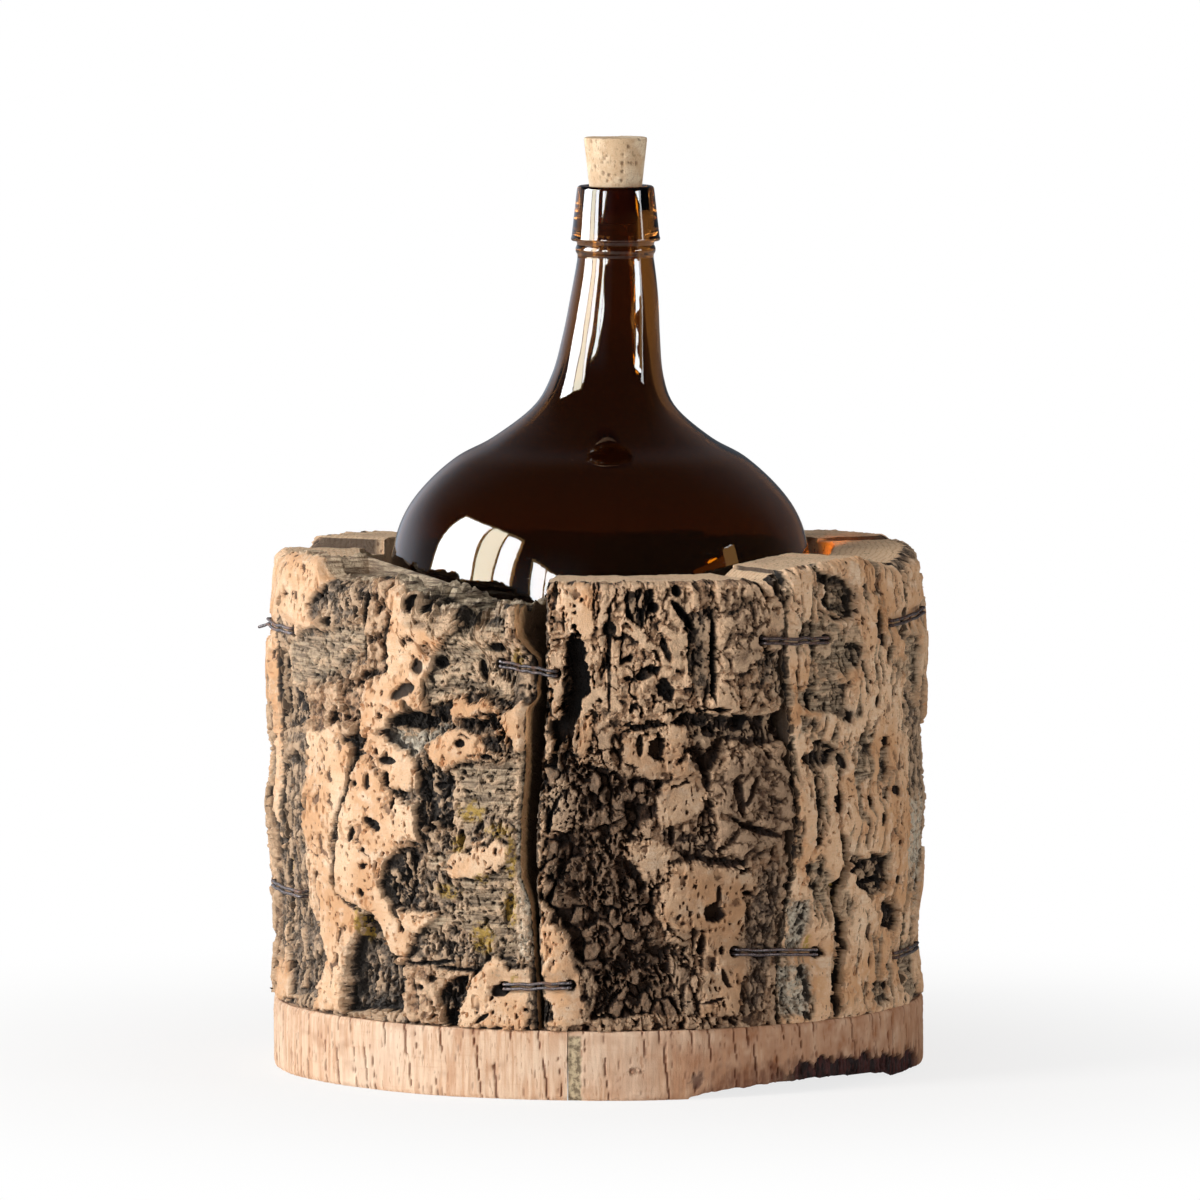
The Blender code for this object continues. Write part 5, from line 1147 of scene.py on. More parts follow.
# depths of the rows of the side walls, as shares of the wall; the finer ones are the front left panel's
wallSteps = [0.010, 0.022, 0.040, 0.062, 0.090, 0.125, 0.17, 0.23, 0.31, 0.41, 0.54, 0.69, 0.85, 1.0]
fineSteps = [0.010, 0.022, 0.038, 0.056, 0.076, 0.100, 0.128, 0.16, 0.195, 0.235, 0.28, 0.325,
             0.375, 0.43, 0.49, 0.55, 0.61, 0.67, 0.73, 0.79, 0.85, 0.91, 0.96, 1.0]


def makeSlab(name, columns, rows, steps):
    # slab one unit wide, high and deep: fine front, stepped side walls and a coarse back
    deselectAll()
    bpy.ops.mesh.primitive_grid_add(
        x_subdivisions=columns, y_subdivisions=rows, size=1.0, location=(0.5, 0, 0.5),
        rotation=(math.pi / 2, 0, 0))
    slab = startPiece(name)
    placeInMesh(slab)
    bpy.ops.object.mode_set(mode="EDIT")
    bpy.ops.mesh.select_mode(type="EDGE")
    bpy.ops.mesh.select_all(action="SELECT")
    bpy.ops.mesh.region_to_loop()
    before = 0.0
    for step in steps:
        bpy.ops.mesh.extrude_edges_move(TRANSFORM_OT_translate={"value": (0, step - before, 0)})
        before = step
    bpy.ops.object.mode_set(mode="OBJECT")
    points, ends = readPoints(slab), readEdges(slab)
    a, b = points[ends[:, 0]], points[ends[:, 1]]
    deep = (a[:, 1] > 0.999) & (b[:, 1] > 0.999)
    sides = deep & (((a[:, 0] < 1e-4) & (b[:, 0] < 1e-4)) | ((a[:, 0] > 0.9999) & (b[:, 0] > 0.9999)))
    pickEdges(slab, sides)
    bpy.ops.mesh.bridge_edge_loops(type="SINGLE", number_cuts=max(columns // 10, 8), interpolation="LINEAR")
    bpy.ops.object.mode_set(mode="OBJECT")
    points, ends = readPoints(slab), readEdges(slab)
    # the back's own top and bottom rows move a little inwards, and a strip closes each gap
    faceCount = np.zeros(len(ends), np.int32)
    loopEdges = np.zeros(len(slab.data.loops), np.int32)
    slab.data.loops.foreach_get("edge_index", loopEdges)
    np.add.at(faceCount, loopEdges, 1)
    a, b = points[ends[:, 0]], points[ends[:, 1]]
    deep = (a[:, 1] > 0.999) & (b[:, 1] > 0.999)
    openEdges = (faceCount == 1) & deep
    for level in (0.0, 1.0):
        pickEdges(slab, openEdges & (np.abs(a[:, 2] - level) < 1e-4) & (np.abs(b[:, 2] - level) < 1e-4))
        bpy.ops.mesh.edge_face_add()
    bpy.ops.object.mode_set(mode="OBJECT")
    return slab


def bendSlab(slab, index, panel, columns, rows):
    # maps the unit slab to the casing: across to azimuth, up to height, and deep to radius
    left, right = casing["seams"][index], casing["seams"][(index + 1) % 8]
    panel["start"], panel["end"] = panelEnds(index)
    turn = 360 if index == 7 else 0
    wall = casing["wallDepth"]
    seed = 100 * (index + 1)
    points = readPoints(slab)
    u, w, v = points[:, 0], points[:, 1], points[:, 2]
    width = along(panel["end"] - panel["start"])

    def rimHeight(share, deep):
        s = share * width
        chips = 0.9 * cloud(s / 7, s * 0 + 3.3, seed + 81, 3)
        chips = chips + 0.7 * cloud(s / 2.6, s * 0 + 8.3, seed + 82, 2)
        sawn = 0.5 * cloud(s / 16, deep * wall / 12, seed + 83)
        sawn = sawn + 0.22 * cloud(s / 3, deep * wall / 3, seed + 84)
        fade = np.exp(-deep * 12)
        rim = casing["rim"] + readTable(panel["rim"], share) + 0.001 * (chips * fade + sawn * (1 - fade))
        if index == 0:
            # the inner part of its rim is broken away
            lost = 0.014 * smooth((deep - 0.24) / 0.10)
            rim = rim - lost * smooth((share - 0.05) / 0.05) * smooth((0.68 - share) / 0.10)
        return rim - 0.001 * brokenRim(s, share, deep) * (0.8 + 0.2 * fade)

    def brokenRim(s, share, deep):
        # the front left panel's rim is not sawn but broken off in steps near its right end
        if index:
            return 0 * share
        uneven = s / 12 + 0.3 * cloud(s / 5, deep * 9, seed + 67)
        _, _, number, _, _ = cells(uneven, deep * wall / 8, seed + 68)
        _, _, small, _, _ = cells(s / 4.4, deep * wall / 4.0, seed + 69)
        part = 0.50 + 0.50 * smooth((share - 0.52) / 0.10)
        return part * (8.5 * number ** 1.5 + 3.4 * small + 2.4 * cloud(s / 3, deep * 15, seed + 66, 3))

    def azimuthAt(share, height, deep):
        half = math.degrees(casing["seamGap"] / 2 / casing["radius"])
        z = height * 1000
        opening = []
        for side in (0, 1):
            ragged = 1.2 + 1.0 * cloud(z / 9, z * 0 + side * 7.7, seed + 85, 3)
            broken = ragged - 0.6 + 1.1 * cloud(z / 3.3, z * 0 + side * 3.1, seed + 64, 3)
            bevel = 0.1 + 0.85 * np.clip(broken, 0, 3)
            reach = 0.10
            if index == 0 and side == 1:
                # the front left panel's right edge slants back from the seam
                bevel = readTable(casing["slant"], (z / 1000 - casing["boardTop"]) / barkHeight)
                bevel = bevel + 0.5 * np.clip(cloud(z / 8, deep * 6, seed + 86, 3), 0, 2)
                reach = 1.0
            if index == 1 and side == 0:
                bevel = 1.2 + 1.6 * np.clip(cloud(z / 10, z * 0, seed + 87, 3), 0, 2)
                reach = 0.25
            rough = 0.25 * np.abs(cloud(z / 5, deep * wall / 5 + side * 9, seed + 88))
            if index == 0 and side == 1:
                rough = 0.9 * np.abs(cloud(z / 7, deep * wall / 4, seed + 88, 4, 0.62))
                rough = rough * np.clip(1.4 - deep, 0, 1)
            cut = bevel * np.clip(1 - deep / reach, 0, 1) + rough * (deep > 0) * (deep < 0.97)
            opening.append(np.degrees(cut / (casing["radius"] * 1000)))
        start = seamAzimuth(left, height) + half + opening[0]
        end = seamAzimuth(right, height) + turn - half - opening[1]
        return start + (end - start) * share

    # relief on the front's own grid of places
    gridU, gridV = np.meshgrid(np.arange(columns + 1) / columns, np.arange(rows + 1) / rows)
    gridTop = rimHeight(gridU, gridU * 0)
    gridZ = casing["foot"] + (gridTop - casing["foot"]) * gridV
    gridA = azimuthAt(gridU, gridZ, gridU * 0)
    h, masks = barkRelief(index, panel, gridA, gridZ, gridU)
    fromRim = (gridTop - gridZ) * 1000
    chip = 1 + 0.5 * cloud(gridU * width / 8, gridU * 0 + 1.1, seed + 89)
    h = h - casing["rimRounding"] * 1000 * np.clip(1 - fromRim / (4.5 * chip), 0, 1) ** 2 * chip
    h = h - 0.8 * np.clip(1 - (gridZ - casing["foot"]) * 1000 / 2.0, 0, 1) ** 2
    outer = barrelRadius(gridZ) + panel["proud"] + h / 1000

    column = np.clip(np.rint(u * columns).astype(int), 0, columns)
    row = np.clip(np.rint(v * rows).astype(int), 0, rows)
    facade = outer[row, column]
    top = rimHeight(u, w)
    # rows of the back lie a little inside the rim and the foot, so that the closing strips have width
    coarse = (w > 0.999) & (u > 1e-4) & (u < 0.9999) & slabBackMask(slab)
    vIn = np.where(coarse, 0.006 + 0.988 * v, v)
    height = casing["foot"] + (top - casing["foot"]) * vIn
    radius = facade * (1 - w) + casing["bore"] * w
    azimuth = azimuthAt(u, height, w)
    angle = np.radians(azimuth)
    writePoints(slab, insideBox(np.stack([radius * np.sin(angle), -radius * np.cos(angle), height], axis=1)))
    outside = w < 1e-4
    edge = np.exp(-w * 30)
    for key, field in masks.items():
        keepMask(slab, key, field[row, column] * np.where(outside, 1, edge))
    broken = (0.8 + 0.2 * smooth((u - 0.52) / 0.10)) * (v > 0.999) * (index == 0)
    fallen = brokenRim(u * width, u, w) * broken
    keepMask(slab, "cut", np.where(outside, 0, 1 - edge) * (1 - broken))
    keepMask(slab, "broken", np.where(outside, 0, 1 - edge) * broken)
    keepMask(slab, "fallen", np.clip(fallen / 11, 0, 1))
    # the seams' side faces are painted dark deeper into the gap, as painted shade between the panels; on the
    # front left panel's bare side face it starts further in
    onSide = (u < 1e-4) | (u > 0.9999)
    bareSide = (u > 0.5) & (index == 0)
    shade = np.where(bareSide, smooth((w - 0.13) / 0.12), smooth((w - 0.004) / 0.02))
    keepMask(slab, "gap", onSide * shade * (1 - smooth((w - 0.9) / 0.1)))
    # the front left panel's bare side face, which the material paints lighter: painted light against the
    # shade it stands in
    keepMask(slab, "split", onSide * bareSide * np.where(outside, 0, 1))


def slabBackMask(slab):
    # vertices of the back that touch no side wall
    mesh = slab.data
    points = readPoints(slab)
    sizes = np.zeros(len(mesh.polygons), np.int32)
    starts = np.zeros(len(mesh.polygons), np.int32)
    mesh.polygons.foreach_get("loop_total", sizes)
    mesh.polygons.foreach_get("loop_start", starts)
    corners = np.zeros(len(mesh.loops), np.int32)
    mesh.loops.foreach_get("vertex_index", corners)
    onWall = np.zeros(len(points), bool)
    quads = starts[sizes == 4]
    four = corners[quads[:, None] + np.arange(4)]
    depth = points[four, 1]
    wall = depth.max(1) - depth.min(1) > 1e-5
    onWall[four[wall].ravel()] = True
    return ~onWall


def makePanel(index, panel, material):
    start, end = panelEnds(index)
    columns = round(math.radians(end - start) * casing["radius"] / panel["spacing"])
    rows = round(barkHeight / panel["spacing"])
    slab = makeSlab(panel["name"] + "_bark", columns, rows, wallSteps if index else fineSteps)
    bendSlab(slab, index, panel, columns, rows)
    bpy.ops.object.mode_set(mode="EDIT")
    bpy.ops.mesh.select_all(action="SELECT")
    bpy.ops.mesh.normals_make_consistent(inside=False)
    bpy.ops.object.mode_set(mode="OBJECT")
    finishPiece(slab, material, 34)
    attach(slab, "casing")
    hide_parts(panel["name"])


barkColors = {
    "skin": tone(238, 203, 168),
    "skinPale": tone(244, 222, 196),
    "skinWarm": tone(216, 168, 125),
    "pore": tone(104, 66, 44),
    "crust": tone(132, 114, 97),
    "crustDark": tone(62, 52, 45),
    "crustPale": tone(182, 168, 150),
    # dark crust, which in deep recesses also stands partly for painted shade
    "dark": tone(66, 54, 46),
    # darkest crust, and the painted shade of hollows, holes and seam edges
    "darkest": tone(20, 15, 12),
    "streak": tone(184, 162, 136),
    "streakDark": tone(108, 91, 74),
    "streakPale": tone(208, 192, 166),
    "sponge": tone(112, 82, 60),
    "spongeDark": tone(36, 25, 19),
    "block": tone(180, 143, 111),
    "blockDark": tone(92, 67, 50),
    "boulder": tone(156, 127, 100),
    "white": tone(216, 206, 188),
    "whiteDark": tone(130, 113, 95),
    "lichen": tone(182, 150, 70),
    "cut": tone(228, 198, 164),
    "cutRing": tone(196, 154, 116),
    # painted shade in the seams' gaps
    "gap": tone(46, 31, 23),
    # darker brown of the lower front panel: dirt and painted shade
    "dirtAndShade": tone(92, 66, 48),
    # painted light: the bare side face lightened against its shade
    "split": tone(252, 198, 140),
}


def barkMaterial():
    paint = Paint("corkBark")
    c = barkColors
    fine = paint.noise(900, 3, 0.6)
    small = paint.noise(300, 4, 0.6)
    middle = paint.noise(95, 4, 0.6)
    broad = paint.noise(26, 3, 0.5)
    upright = paint.noise(1, 3, 0.55, paint.stretched(420, 420, 70))
    flat = paint.noise(1, 4, 0.6, paint.stretched(55, 55, 620))
    specks = paint.noise(1, 2, 0.5, paint.stretched(520, 520, 260))
    cavity, hollow = paint.mask("cavity"), paint.mask("hollow")

    color = paint.coats(
        c["skinWarm"], (broad, 0.36, 0.62, 1, c["skin"]), (middle, 0.48, 0.72, 0.7, c["skinPale"]),
        (upright, 0.52, 0.75, 0.35, c["skinWarm"]), (fine, 0.47, 0.66, 0.40, c["skinWarm"]),
        (flat, 0.52, 0.64, 0.30, c["skinWarm"]), (small, 0.60, 0.70, 0.35, c["crustPale"]),
        (specks, 0.66, 0.72, 0.75, c["pore"]))
    finishes = {
        "crust": paint.coats(
            c["crustDark"], (small, 0.38, 0.62, 1, c["crust"]), (fine, 0.56, 0.72, 0.7, c["crustPale"]),
            (middle, 0.55, 0.7, 0.55, c["block"])),
        # dark crust, partly painted shade where it lies in deep recesses
        "dark": paint.coats(
            c["darkest"], (small, 0.4, 0.66, 1, c["dark"]), (fine, 0.6, 0.75, 0.5, c["crust"])),
        "streak": paint.coats(
            c["streakDark"], (flat, 0.36, 0.6, 1, c["streak"]), (flat, 0.58, 0.72, 0.8, c["streakPale"]),
            (small, 0.55, 0.7, 0.45, c["crustDark"])),
        "sponge": paint.coats(c["spongeDark"], (small, 0.4, 0.65, 1, c["sponge"])),
        "block": paint.coats(
            c["blockDark"], (small, 0.36, 0.58, 1, c["block"]), (middle, 0.5, 0.7, 0.6, c["skin"]),
            (specks, 0.62, 0.7, 0.6, c["crustDark"])),
        "boulder": paint.coats(
            c["blockDark"], (small, 0.38, 0.6, 1, c["boulder"]), (fine, 0.58, 0.7, 0.5, c["crustPale"])),
        "white": paint.coats(c["whiteDark"], (small, 0.36, 0.56, 1, c["white"])),
    }
    for kind, finish in finishes.items():
        color = paint.mix(paint.mask(kind), color, finish)
    # raised edges are rubbed clean; hollows, holes and the strips beside the seams are painted dark as
    # painted shade
    worn = paint.span(cavity, -0.05, -0.45) * (1 - paint.mask("skin")) * (1 - paint.mask("sponge") * 0.6)
    color = paint.mix(worn * 0.6, color, c["skin"])
    # the skin's small hollows are painted pore brown: partly the pores' own colour, partly painted shade
    color = paint.mix(paint.mask("skin") * paint.span(cavity, 0.04, 0.22) * 0.7, color, c["pore"])
    # painted shade: darkest in small and wide hollows, in holes and in strips beside the seams
    color = paint.coats(
        color, (cavity, 0.06, 0.55, 0.88, c["darkest"]), (hollow, 0.12, 0.8, 0.66, c["darkest"]),
        (paint.mask("pit"), 0.2, 0.8, 0.85, c["darkest"]))
    # the lower front panel darker brown, partly dirt and partly painted shade
    color = paint.mix(paint.mask("dirtAndShade") * 0.50, color, c["dirtAndShade"])
    growth = paint.mask("lichen") * paint.span(small, 0.42, 0.56)
    color = paint.mix(growth * 0.9, color, c["lichen"])

    # sawn faces: growth rings at even radii, with lenticels across them
    flatPlace = paint.node("ShaderNodeVectorMath", {"operation": "MULTIPLY"}, {0: paint.place, 1: (1, 1, 0)})
    radius = paint.node("ShaderNodeVectorMath", {"operation": "LENGTH"}, {0: flatPlace}, output="Value")
    ring = paint.node("ShaderNodeMath", {"operation": "SINE"}, {0: radius * 1900 + middle * 9})
    cut = paint.coats(
        c["cut"], (ring, 0.2, 1.0, 0.5, c["cutRing"]), (small, 0.55, 0.75, 0.5, c["skinWarm"]),
        (specks, 0.62, 0.7, 0.7, c["pore"]), (broad, 0.5, 0.75, 0.35, c["crust"]))
    color = paint.mix(paint.mask("cut"), color, cut)
    layered = paint.coats(
        c["crustDark"], (flat, 0.38, 0.6, 1, c["streakPale"]), (small, 0.45, 0.6, 0.6, c["crust"]),
        (paint.mask("fallen"), 0.45, 0.8, 1, c["darkest"]))
    color = paint.mix(paint.mask("broken"), color, layered)
    # painted light on the front left panel's bare side face, which stands in shade
    color = paint.mix(paint.mask("split") * 0.6, color, c["split"])
    # painted shade inside the seams
    color = paint.mix(paint.mask("gap") * 0.9, color, c["gap"])

    rough = 1 - paint.mask("skin") * 0.6
    relief = small * 0.5 + fine * 0.35 + upright * 0.15
    normal = paint.bump(relief, 0.0011, 0.55)
    normal = paint.bump(relief * rough, 0.0026, 0.75, normal)
    return paint.finish(
        Base_Color=color, Roughness=small * -0.1 + 0.93, Normal=normal, Specular_IOR_Level=0.25)


corkBark = barkMaterial()
for number, panel in enumerate(panels):
    makePanel(number, panel, corkBark)
print("bark casing is done")


# wire stitches

def smoothPath(knots, count):
    # evenly stepped points on a curve through the knots
    knots = [np.array(k, float) for k in knots]
    ends = [2 * knots[0] - knots[1]] + knots + [2 * knots[-1] - knots[-2]]
    result = []
    for step in range(count + 1):
        at = step * (len(knots) - 1) / count
        i = min(int(at), len(knots) - 2)
        t = at - i
        a, b, c, d = ends[i:i + 4]
        square, cube = 2 * a - 5 * b + 4 * c - d, 3 * b - a - 3 * c + d
        result.append(0.5 * (2 * b + (c - a) * t + square * t ** 2 + cube * t ** 3))
    return result


def stitchPath(stitch, seed):
    w = wireSettings
    span = math.radians(stitch["right"] - stitch["left"]) * casing["radius"]
    outside = float(barrelRadius(stitch["height"])) + w["gap"] + w["diameter"] / 2
    inside = casing["bore"] - w["gap"] - w["diameter"] / 2
    rng = np.random.default_rng(seed)
    wobble = rng.uniform(-1, 1, 40)

    def point(share, radius, level):
        azimuth = stitch["left"] + (stitch["right"] - stitch["left"]) * share
        height = stitch["height"] + stitch["rise"] * (share - 0.5) + level * w["pitch"]
        return around(azimuth, radius, height)

    def strand(radius, start, end, low, high, count):
        result = []
        for step in range(count):
            t = step / (count - 1)
            sway = 0.20 * wobble[step + count] * math.sin(math.pi * t)
            result.append(point(start + (end - start) * t, radius, low + (high - low) * t + sway))
        return result

    def through(share, level, inwards):
        radii = [outside - w["bend"], (outside + inside) / 2, inside + w["bend"]]
        return [point(share, radius, level) for radius in (radii if inwards else reversed(radii))]

    near, far = w["bend"] / span, 1 - w["bend"] / span
    if stitch["tail"]:
        points = [point(-w["tail"] / span, outside + w["tail"] * 0.6, -1.6),
                  point(-w["tail"] / span / 2, outside + w["tail"] * 0.25, -1.1)]
    else:
        points = strand(inside, 0.6, near, -1.5, -0.5, 4) + through(0, -0.5, False)
    points += strand(outside, near, far, -0.5, -0.5, 9) + through(1, -0.5, True)
    points += strand(inside, far, near, -0.5, 0.5, 5) + through(0, 0.5, False)
    points += strand(outside, near, far, 0.5, 0.5, 9) + through(1, 0.5, True)
    points += strand(inside, far, 0.4, 0.5, 1.5, 4)
    return points


def ironMaterial():
    paint = Paint("ironWire")
    fine = paint.noise(1400, 3, 0.6)
    broad = paint.noise(160, 3, 0.6)
    rust = paint.span(broad, 0.50, 0.66)
    color = paint.mix(paint.span(fine, 0.4, 0.65), tone(66, 62, 64), tone(122, 117, 120))
    color = paint.mix(rust * 0.85, color, tone(104, 70, 52))
    normal = paint.bump(fine, 0.0003, 0.6)
    return paint.finish(
        Base_Color=color, Metallic=rust * -0.75 + 1, Roughness=rust * 0.35 + 0.46 + fine * 0.1, Normal=normal)


def makeWires():
    iron = ironMaterial()
    for number, stitch in enumerate(stitches):
        knots = stitchPath(stitch, 50 + number)
        path = smoothPath(knots, len(knots) * 5)
        reach = wireSettings["diameter"] / 2 + 0.00002
        for axis in (0, 1):
            for place in path:
                place[axis] = min(max(place[axis], cadBox[0][axis] + reach), cadBox[1][axis] - reach)
        deselectAll()
        bpy.ops.curve.primitive_nurbs_path_add(location=(0, 0, 0))
        wire = bpy.context.object
        curve = wire.data
        curve.splines.clear()
        spline = curve.splines.new("POLY")
        spline.points.add(len(path) - 1)
        for slot, place in zip(spline.points, path):
            slot.co = (*place, 1.0)
        curve.bevel_depth = wireSettings["diameter"] / 2
        curve.bevel_resolution = 2
        curve.use_fill_caps = True
        bpy.ops.object.convert(target="MESH")
        wire = startPiece(stitch["name"] + "_strands")
        bpy.ops.object.shade_smooth()
        wire.data.materials.clear()
        wire.data.materials.append(iron)
        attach(wire, "casing")
        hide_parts(stitch["name"])


makeWires()
print("wire stitches are done")


# base boards

baseSettings = {
    "thickness": 0.038,
    "radius": 0.182,
    "wave": 0.0012,
    "seamX": -0.016,
    "seamGap": 0.0004,
    "points": 1240,
    "rows": 42,
    "decayStart": 16.0,
    "decayEnd": 66.0,
    "decayHeight": 0.008,
    "pegCircle": 0.1565,
    "pegDiameter": 0.008,
    "boreLength": 0.080,
    "dowelLength": 0.050,
    "dowelSpacing": 0.180,
    "clearance": 0.0003,
}


def boardRelief(azimuth, z, seed):
    # height over the sawn rim in millimetres, and masks, at places given by azimuth and height in mm
    s = np.radians(azimuth) * (baseSettings["radius"] * 1000)
    lean = s + 0.10 * z
    h = 0.30 * cloud(s / 1.5, z / 16, seed, 3, 0.6) + 0.5 * cloud(s / 40, z / 30, seed + 1)
    h += 0.22 * cloud(s / 8, z / 1.6, seed + 2, 2) * smooth(cloud(s / 30, z / 20, seed + 3) + 0.5)
    _, _, number, dx, dy = cells(lean / 10.5, z / 31 + 0.31, seed + 4)
    wide = 0.020 + 0.035 * np.clip(number - 0.30, 0, 1) / 0.70
    slit = smooth((wide - np.abs(dx + 0.06 * cloud(z / 9, s / 9, seed + 5))) / 0.028 + 0.5)
    slit = slit * smooth((0.56 - np.abs(dy)) / 0.12) * (number > 0.30)
    _, _, number, dx, dy = cells(lean / 3.2, z / 8, seed + 6)
    dash = smooth((0.11 - np.abs(dx)) / 0.1 + 0.3) * smooth((0.36 - np.abs(dy)) / 0.12) * (number > 0.76)
    h -= 1.1 * slit + 0.45 * dash
    # the rotten part of the lower edge
    azimuthNear = turnBetween(azimuth, 0)
    inDecay = smooth((azimuthNear - 30) / 10) * smooth((84 - azimuthNear) / 8)
    teeth = 6.5 + 5.5 * cloud(s / 3.4, z * 0, seed + 7, 4, 0.62) + 8.0 * cloud(s / 15, z * 0 + 5, seed + 8, 2)
    char = inDecay * smooth((teeth + 5.0 * inDecay - z) / 1.6 + 0.5)
    h -= char * (2.4 + 1.3 * cloud(s / 1.8, z / 7, seed + 9, 3))
    edge = np.minimum(z, baseSettings["thickness"] * 1000 - z)
    worn = 1.0 + 0.8 * cloud(s / 6, z * 0 + 2, seed + 10, 3)
    h -= 1.1 * worn * np.clip(1 - edge / (1.6 + 1.2 * np.abs(worn)), 0, 1) ** 2
    rot = smooth((azimuthNear - 14 + 9 * cloud(s / 7, z / 9, seed + 16, 3)) / 12)
    rot = rot * smooth((17 - z + 9 * cloud(s / 4, z / 9, seed + 17, 3)) / 10)
    stain = smooth(cloud(s / 24, z / 15, seed + 11, 3) * 1.6 - 0.2) * 0.5
    uneven = 0.8 + 0.5 * cloud(s / 9, z / 14, seed + 14, 3)
    stain = stain + (1 - stain) * smooth((azimuthNear + 12) / 34) * uneven
    # a strip of bark beside the joint of the boards, and a charred spot and a knot to its right
    strip = smooth((4.2 + 1.0 * cloud(z / 5, z * 0, seed + 12) - np.abs(s + 12.2)) / 1.2)
    strip = strip * smooth((36.5 - z) / 2)
    h -= strip * 0.8
    spot = np.hypot((s - 55) / 4.6, (z - 9) / 6.0) + 0.5 * cloud(s / 3, z / 4, seed + 15, 3)
    char = np.maximum(char, 0.7 * smooth((1.0 - spot) / 0.5))
    knot = np.hypot((s - 20) / 5.0, (z - 16) / 3.0) + 0.4 * cloud(s / 3, z / 3, seed + 13)
    knot = smooth((1.1 - knot) / 0.5)
    h += knot * 0.7 * np.sin(6 * np.hypot(s - 20, z - 16) / 2.2)
    slit = np.clip(slit + 0.6 * dash, 0, 1)
    rot = rot * smooth((84 - azimuthNear) / 8)
    return h, {"slit": slit, "char": char, "stain": stain, "strip": strip, "knot": knot, "rot": rot}


def boardRimRadius(azimuth):
    angle = np.radians(azimuth)
    waves = 0.6 * np.sin(5 * angle + 1.0) + 0.4 * np.sin(9 * angle)
    return baseSettings["radius"] + baseSettings["wave"] * waves


def decayLift(azimuth):
    # how far the rotten lower edge stands off the floor, in metres
    b = baseSettings
    share = np.clip((turnBetween(azimuth, 0) - b["decayStart"]) / (b["decayEnd"] - b["decayStart"]), 0, 1)
    ragged = 0.80 + 0.22 * cloud(azimuth / 3.1, azimuth * 0 + 4, 921, 4, 0.6)
    return b["decayHeight"] * np.sqrt(np.sin(math.pi * share)) * ragged * (share > 0) * (share < 1)


def boardMaterial():
    paint = Paint("corkBoard")
    fine = paint.noise(1000, 3, 0.6)
    small = paint.noise(260, 4, 0.6)
    upright = paint.noise(1, 4, 0.6, paint.stretched(330, 330, 26))
    dashes = paint.noise(1, 2, 0.5, paint.stretched(620, 620, 110))
    flat = paint.noise(1, 3, 0.5, paint.stretched(40, 40, 420))
    broad = paint.noise(20, 3, 0.5)
    color = paint.coats(
        tone(208, 166, 134), (upright, 0.38, 0.62, 1, tone(232, 202, 174)),
        (broad, 0.45, 0.7, 0.5, tone(242, 222, 200)), (dashes, 0.62, 0.70, 0.5, tone(160, 108, 74)),
        (flat, 0.55, 0.75, 0.22, tone(196, 150, 116)))
    stain = paint.mask("stain") * paint.span(upright, 0.25, 0.62, 0.45, 1.0)
    color = paint.mix(stain * 0.85, color, tone(160, 106, 70))
    rot = paint.mask("rot") * paint.span(upright, 0.30, 0.60, 0.35, 0.95)
    color = paint.mix(rot * 0.8, color, tone(104, 62, 44))
    color = paint.mix(paint.mask("slit") * 0.9, color, tone(112, 62, 38))
    bark = paint.mix(paint.span(small, 0.4, 0.6), tone(122, 106, 84), tone(198, 180, 148))
    color = paint.mix(paint.mask("strip"), color, bark)
    color = paint.mix(paint.mask("knot") * paint.span(small, 0.4, 0.6) * 0.7, color, tone(120, 74, 46))
    char = paint.mix(paint.span(upright, 0.42, 0.6), tone(26, 14, 15), tone(74, 38, 36))
    color = paint.mix(paint.mask("char"), color, char)
    relief = upright * 0.5 + fine * 0.3 + dashes * -0.4
    normal = paint.bump(relief, 0.0012, 0.6)
    return paint.finish(Base_Color=color, Roughness=0.88 - fine * 0.1, Normal=normal, Specular_IOR_Level=0.25)


def pegCentres():
    return [around(sum(panelEnds(index)) / 2, baseSettings["pegCircle"], 0) for index in range(8)]


def cutHoles(board, side):
    # bores for the pegs and the dowels, cut with cylinders that are removed again
    b = baseSettings
    edge = b["seamX"] + side * b["seamGap"] / 2
    wide = b["pegDiameter"] / 2 + b["clearance"]
    cutters = []

    def addCutter(place, length, turned):
        deselectAll()
        bpy.ops.mesh.primitive_cylinder_add(
            vertices=24, radius=wide, depth=length, location=place, rotation=(0, turned, 0))
        cutters.append(bpy.context.object)

    for centre in pegCentres():
        if side * (centre.x - edge) > 0:
            addCutter((centre.x, centre.y, b["thickness"] / 2), b["boreLength"], 0)
    for y in (-b["dowelSpacing"] / 2, b["dowelSpacing"] / 2):
        addCutter((b["seamX"], y, b["thickness"] / 2), b["dowelLength"] + 2 * b["clearance"], math.pi / 2)
    deselectAll()
    for cutter in cutters:
        cutter.select_set(True)
    bpy.context.view_layer.objects.active = cutters[0]
    bpy.ops.object.join()
    cutter = bpy.context.object
    selectOnly(board)
    boolean = board.modifiers.new("bores", "BOOLEAN")
    boolean.operation = "DIFFERENCE"
    boolean.solver = "EXACT"
    boolean.object = cutter
    bpy.ops.object.modifier_apply(modifier="bores")
    bpy.data.objects.remove(cutter)


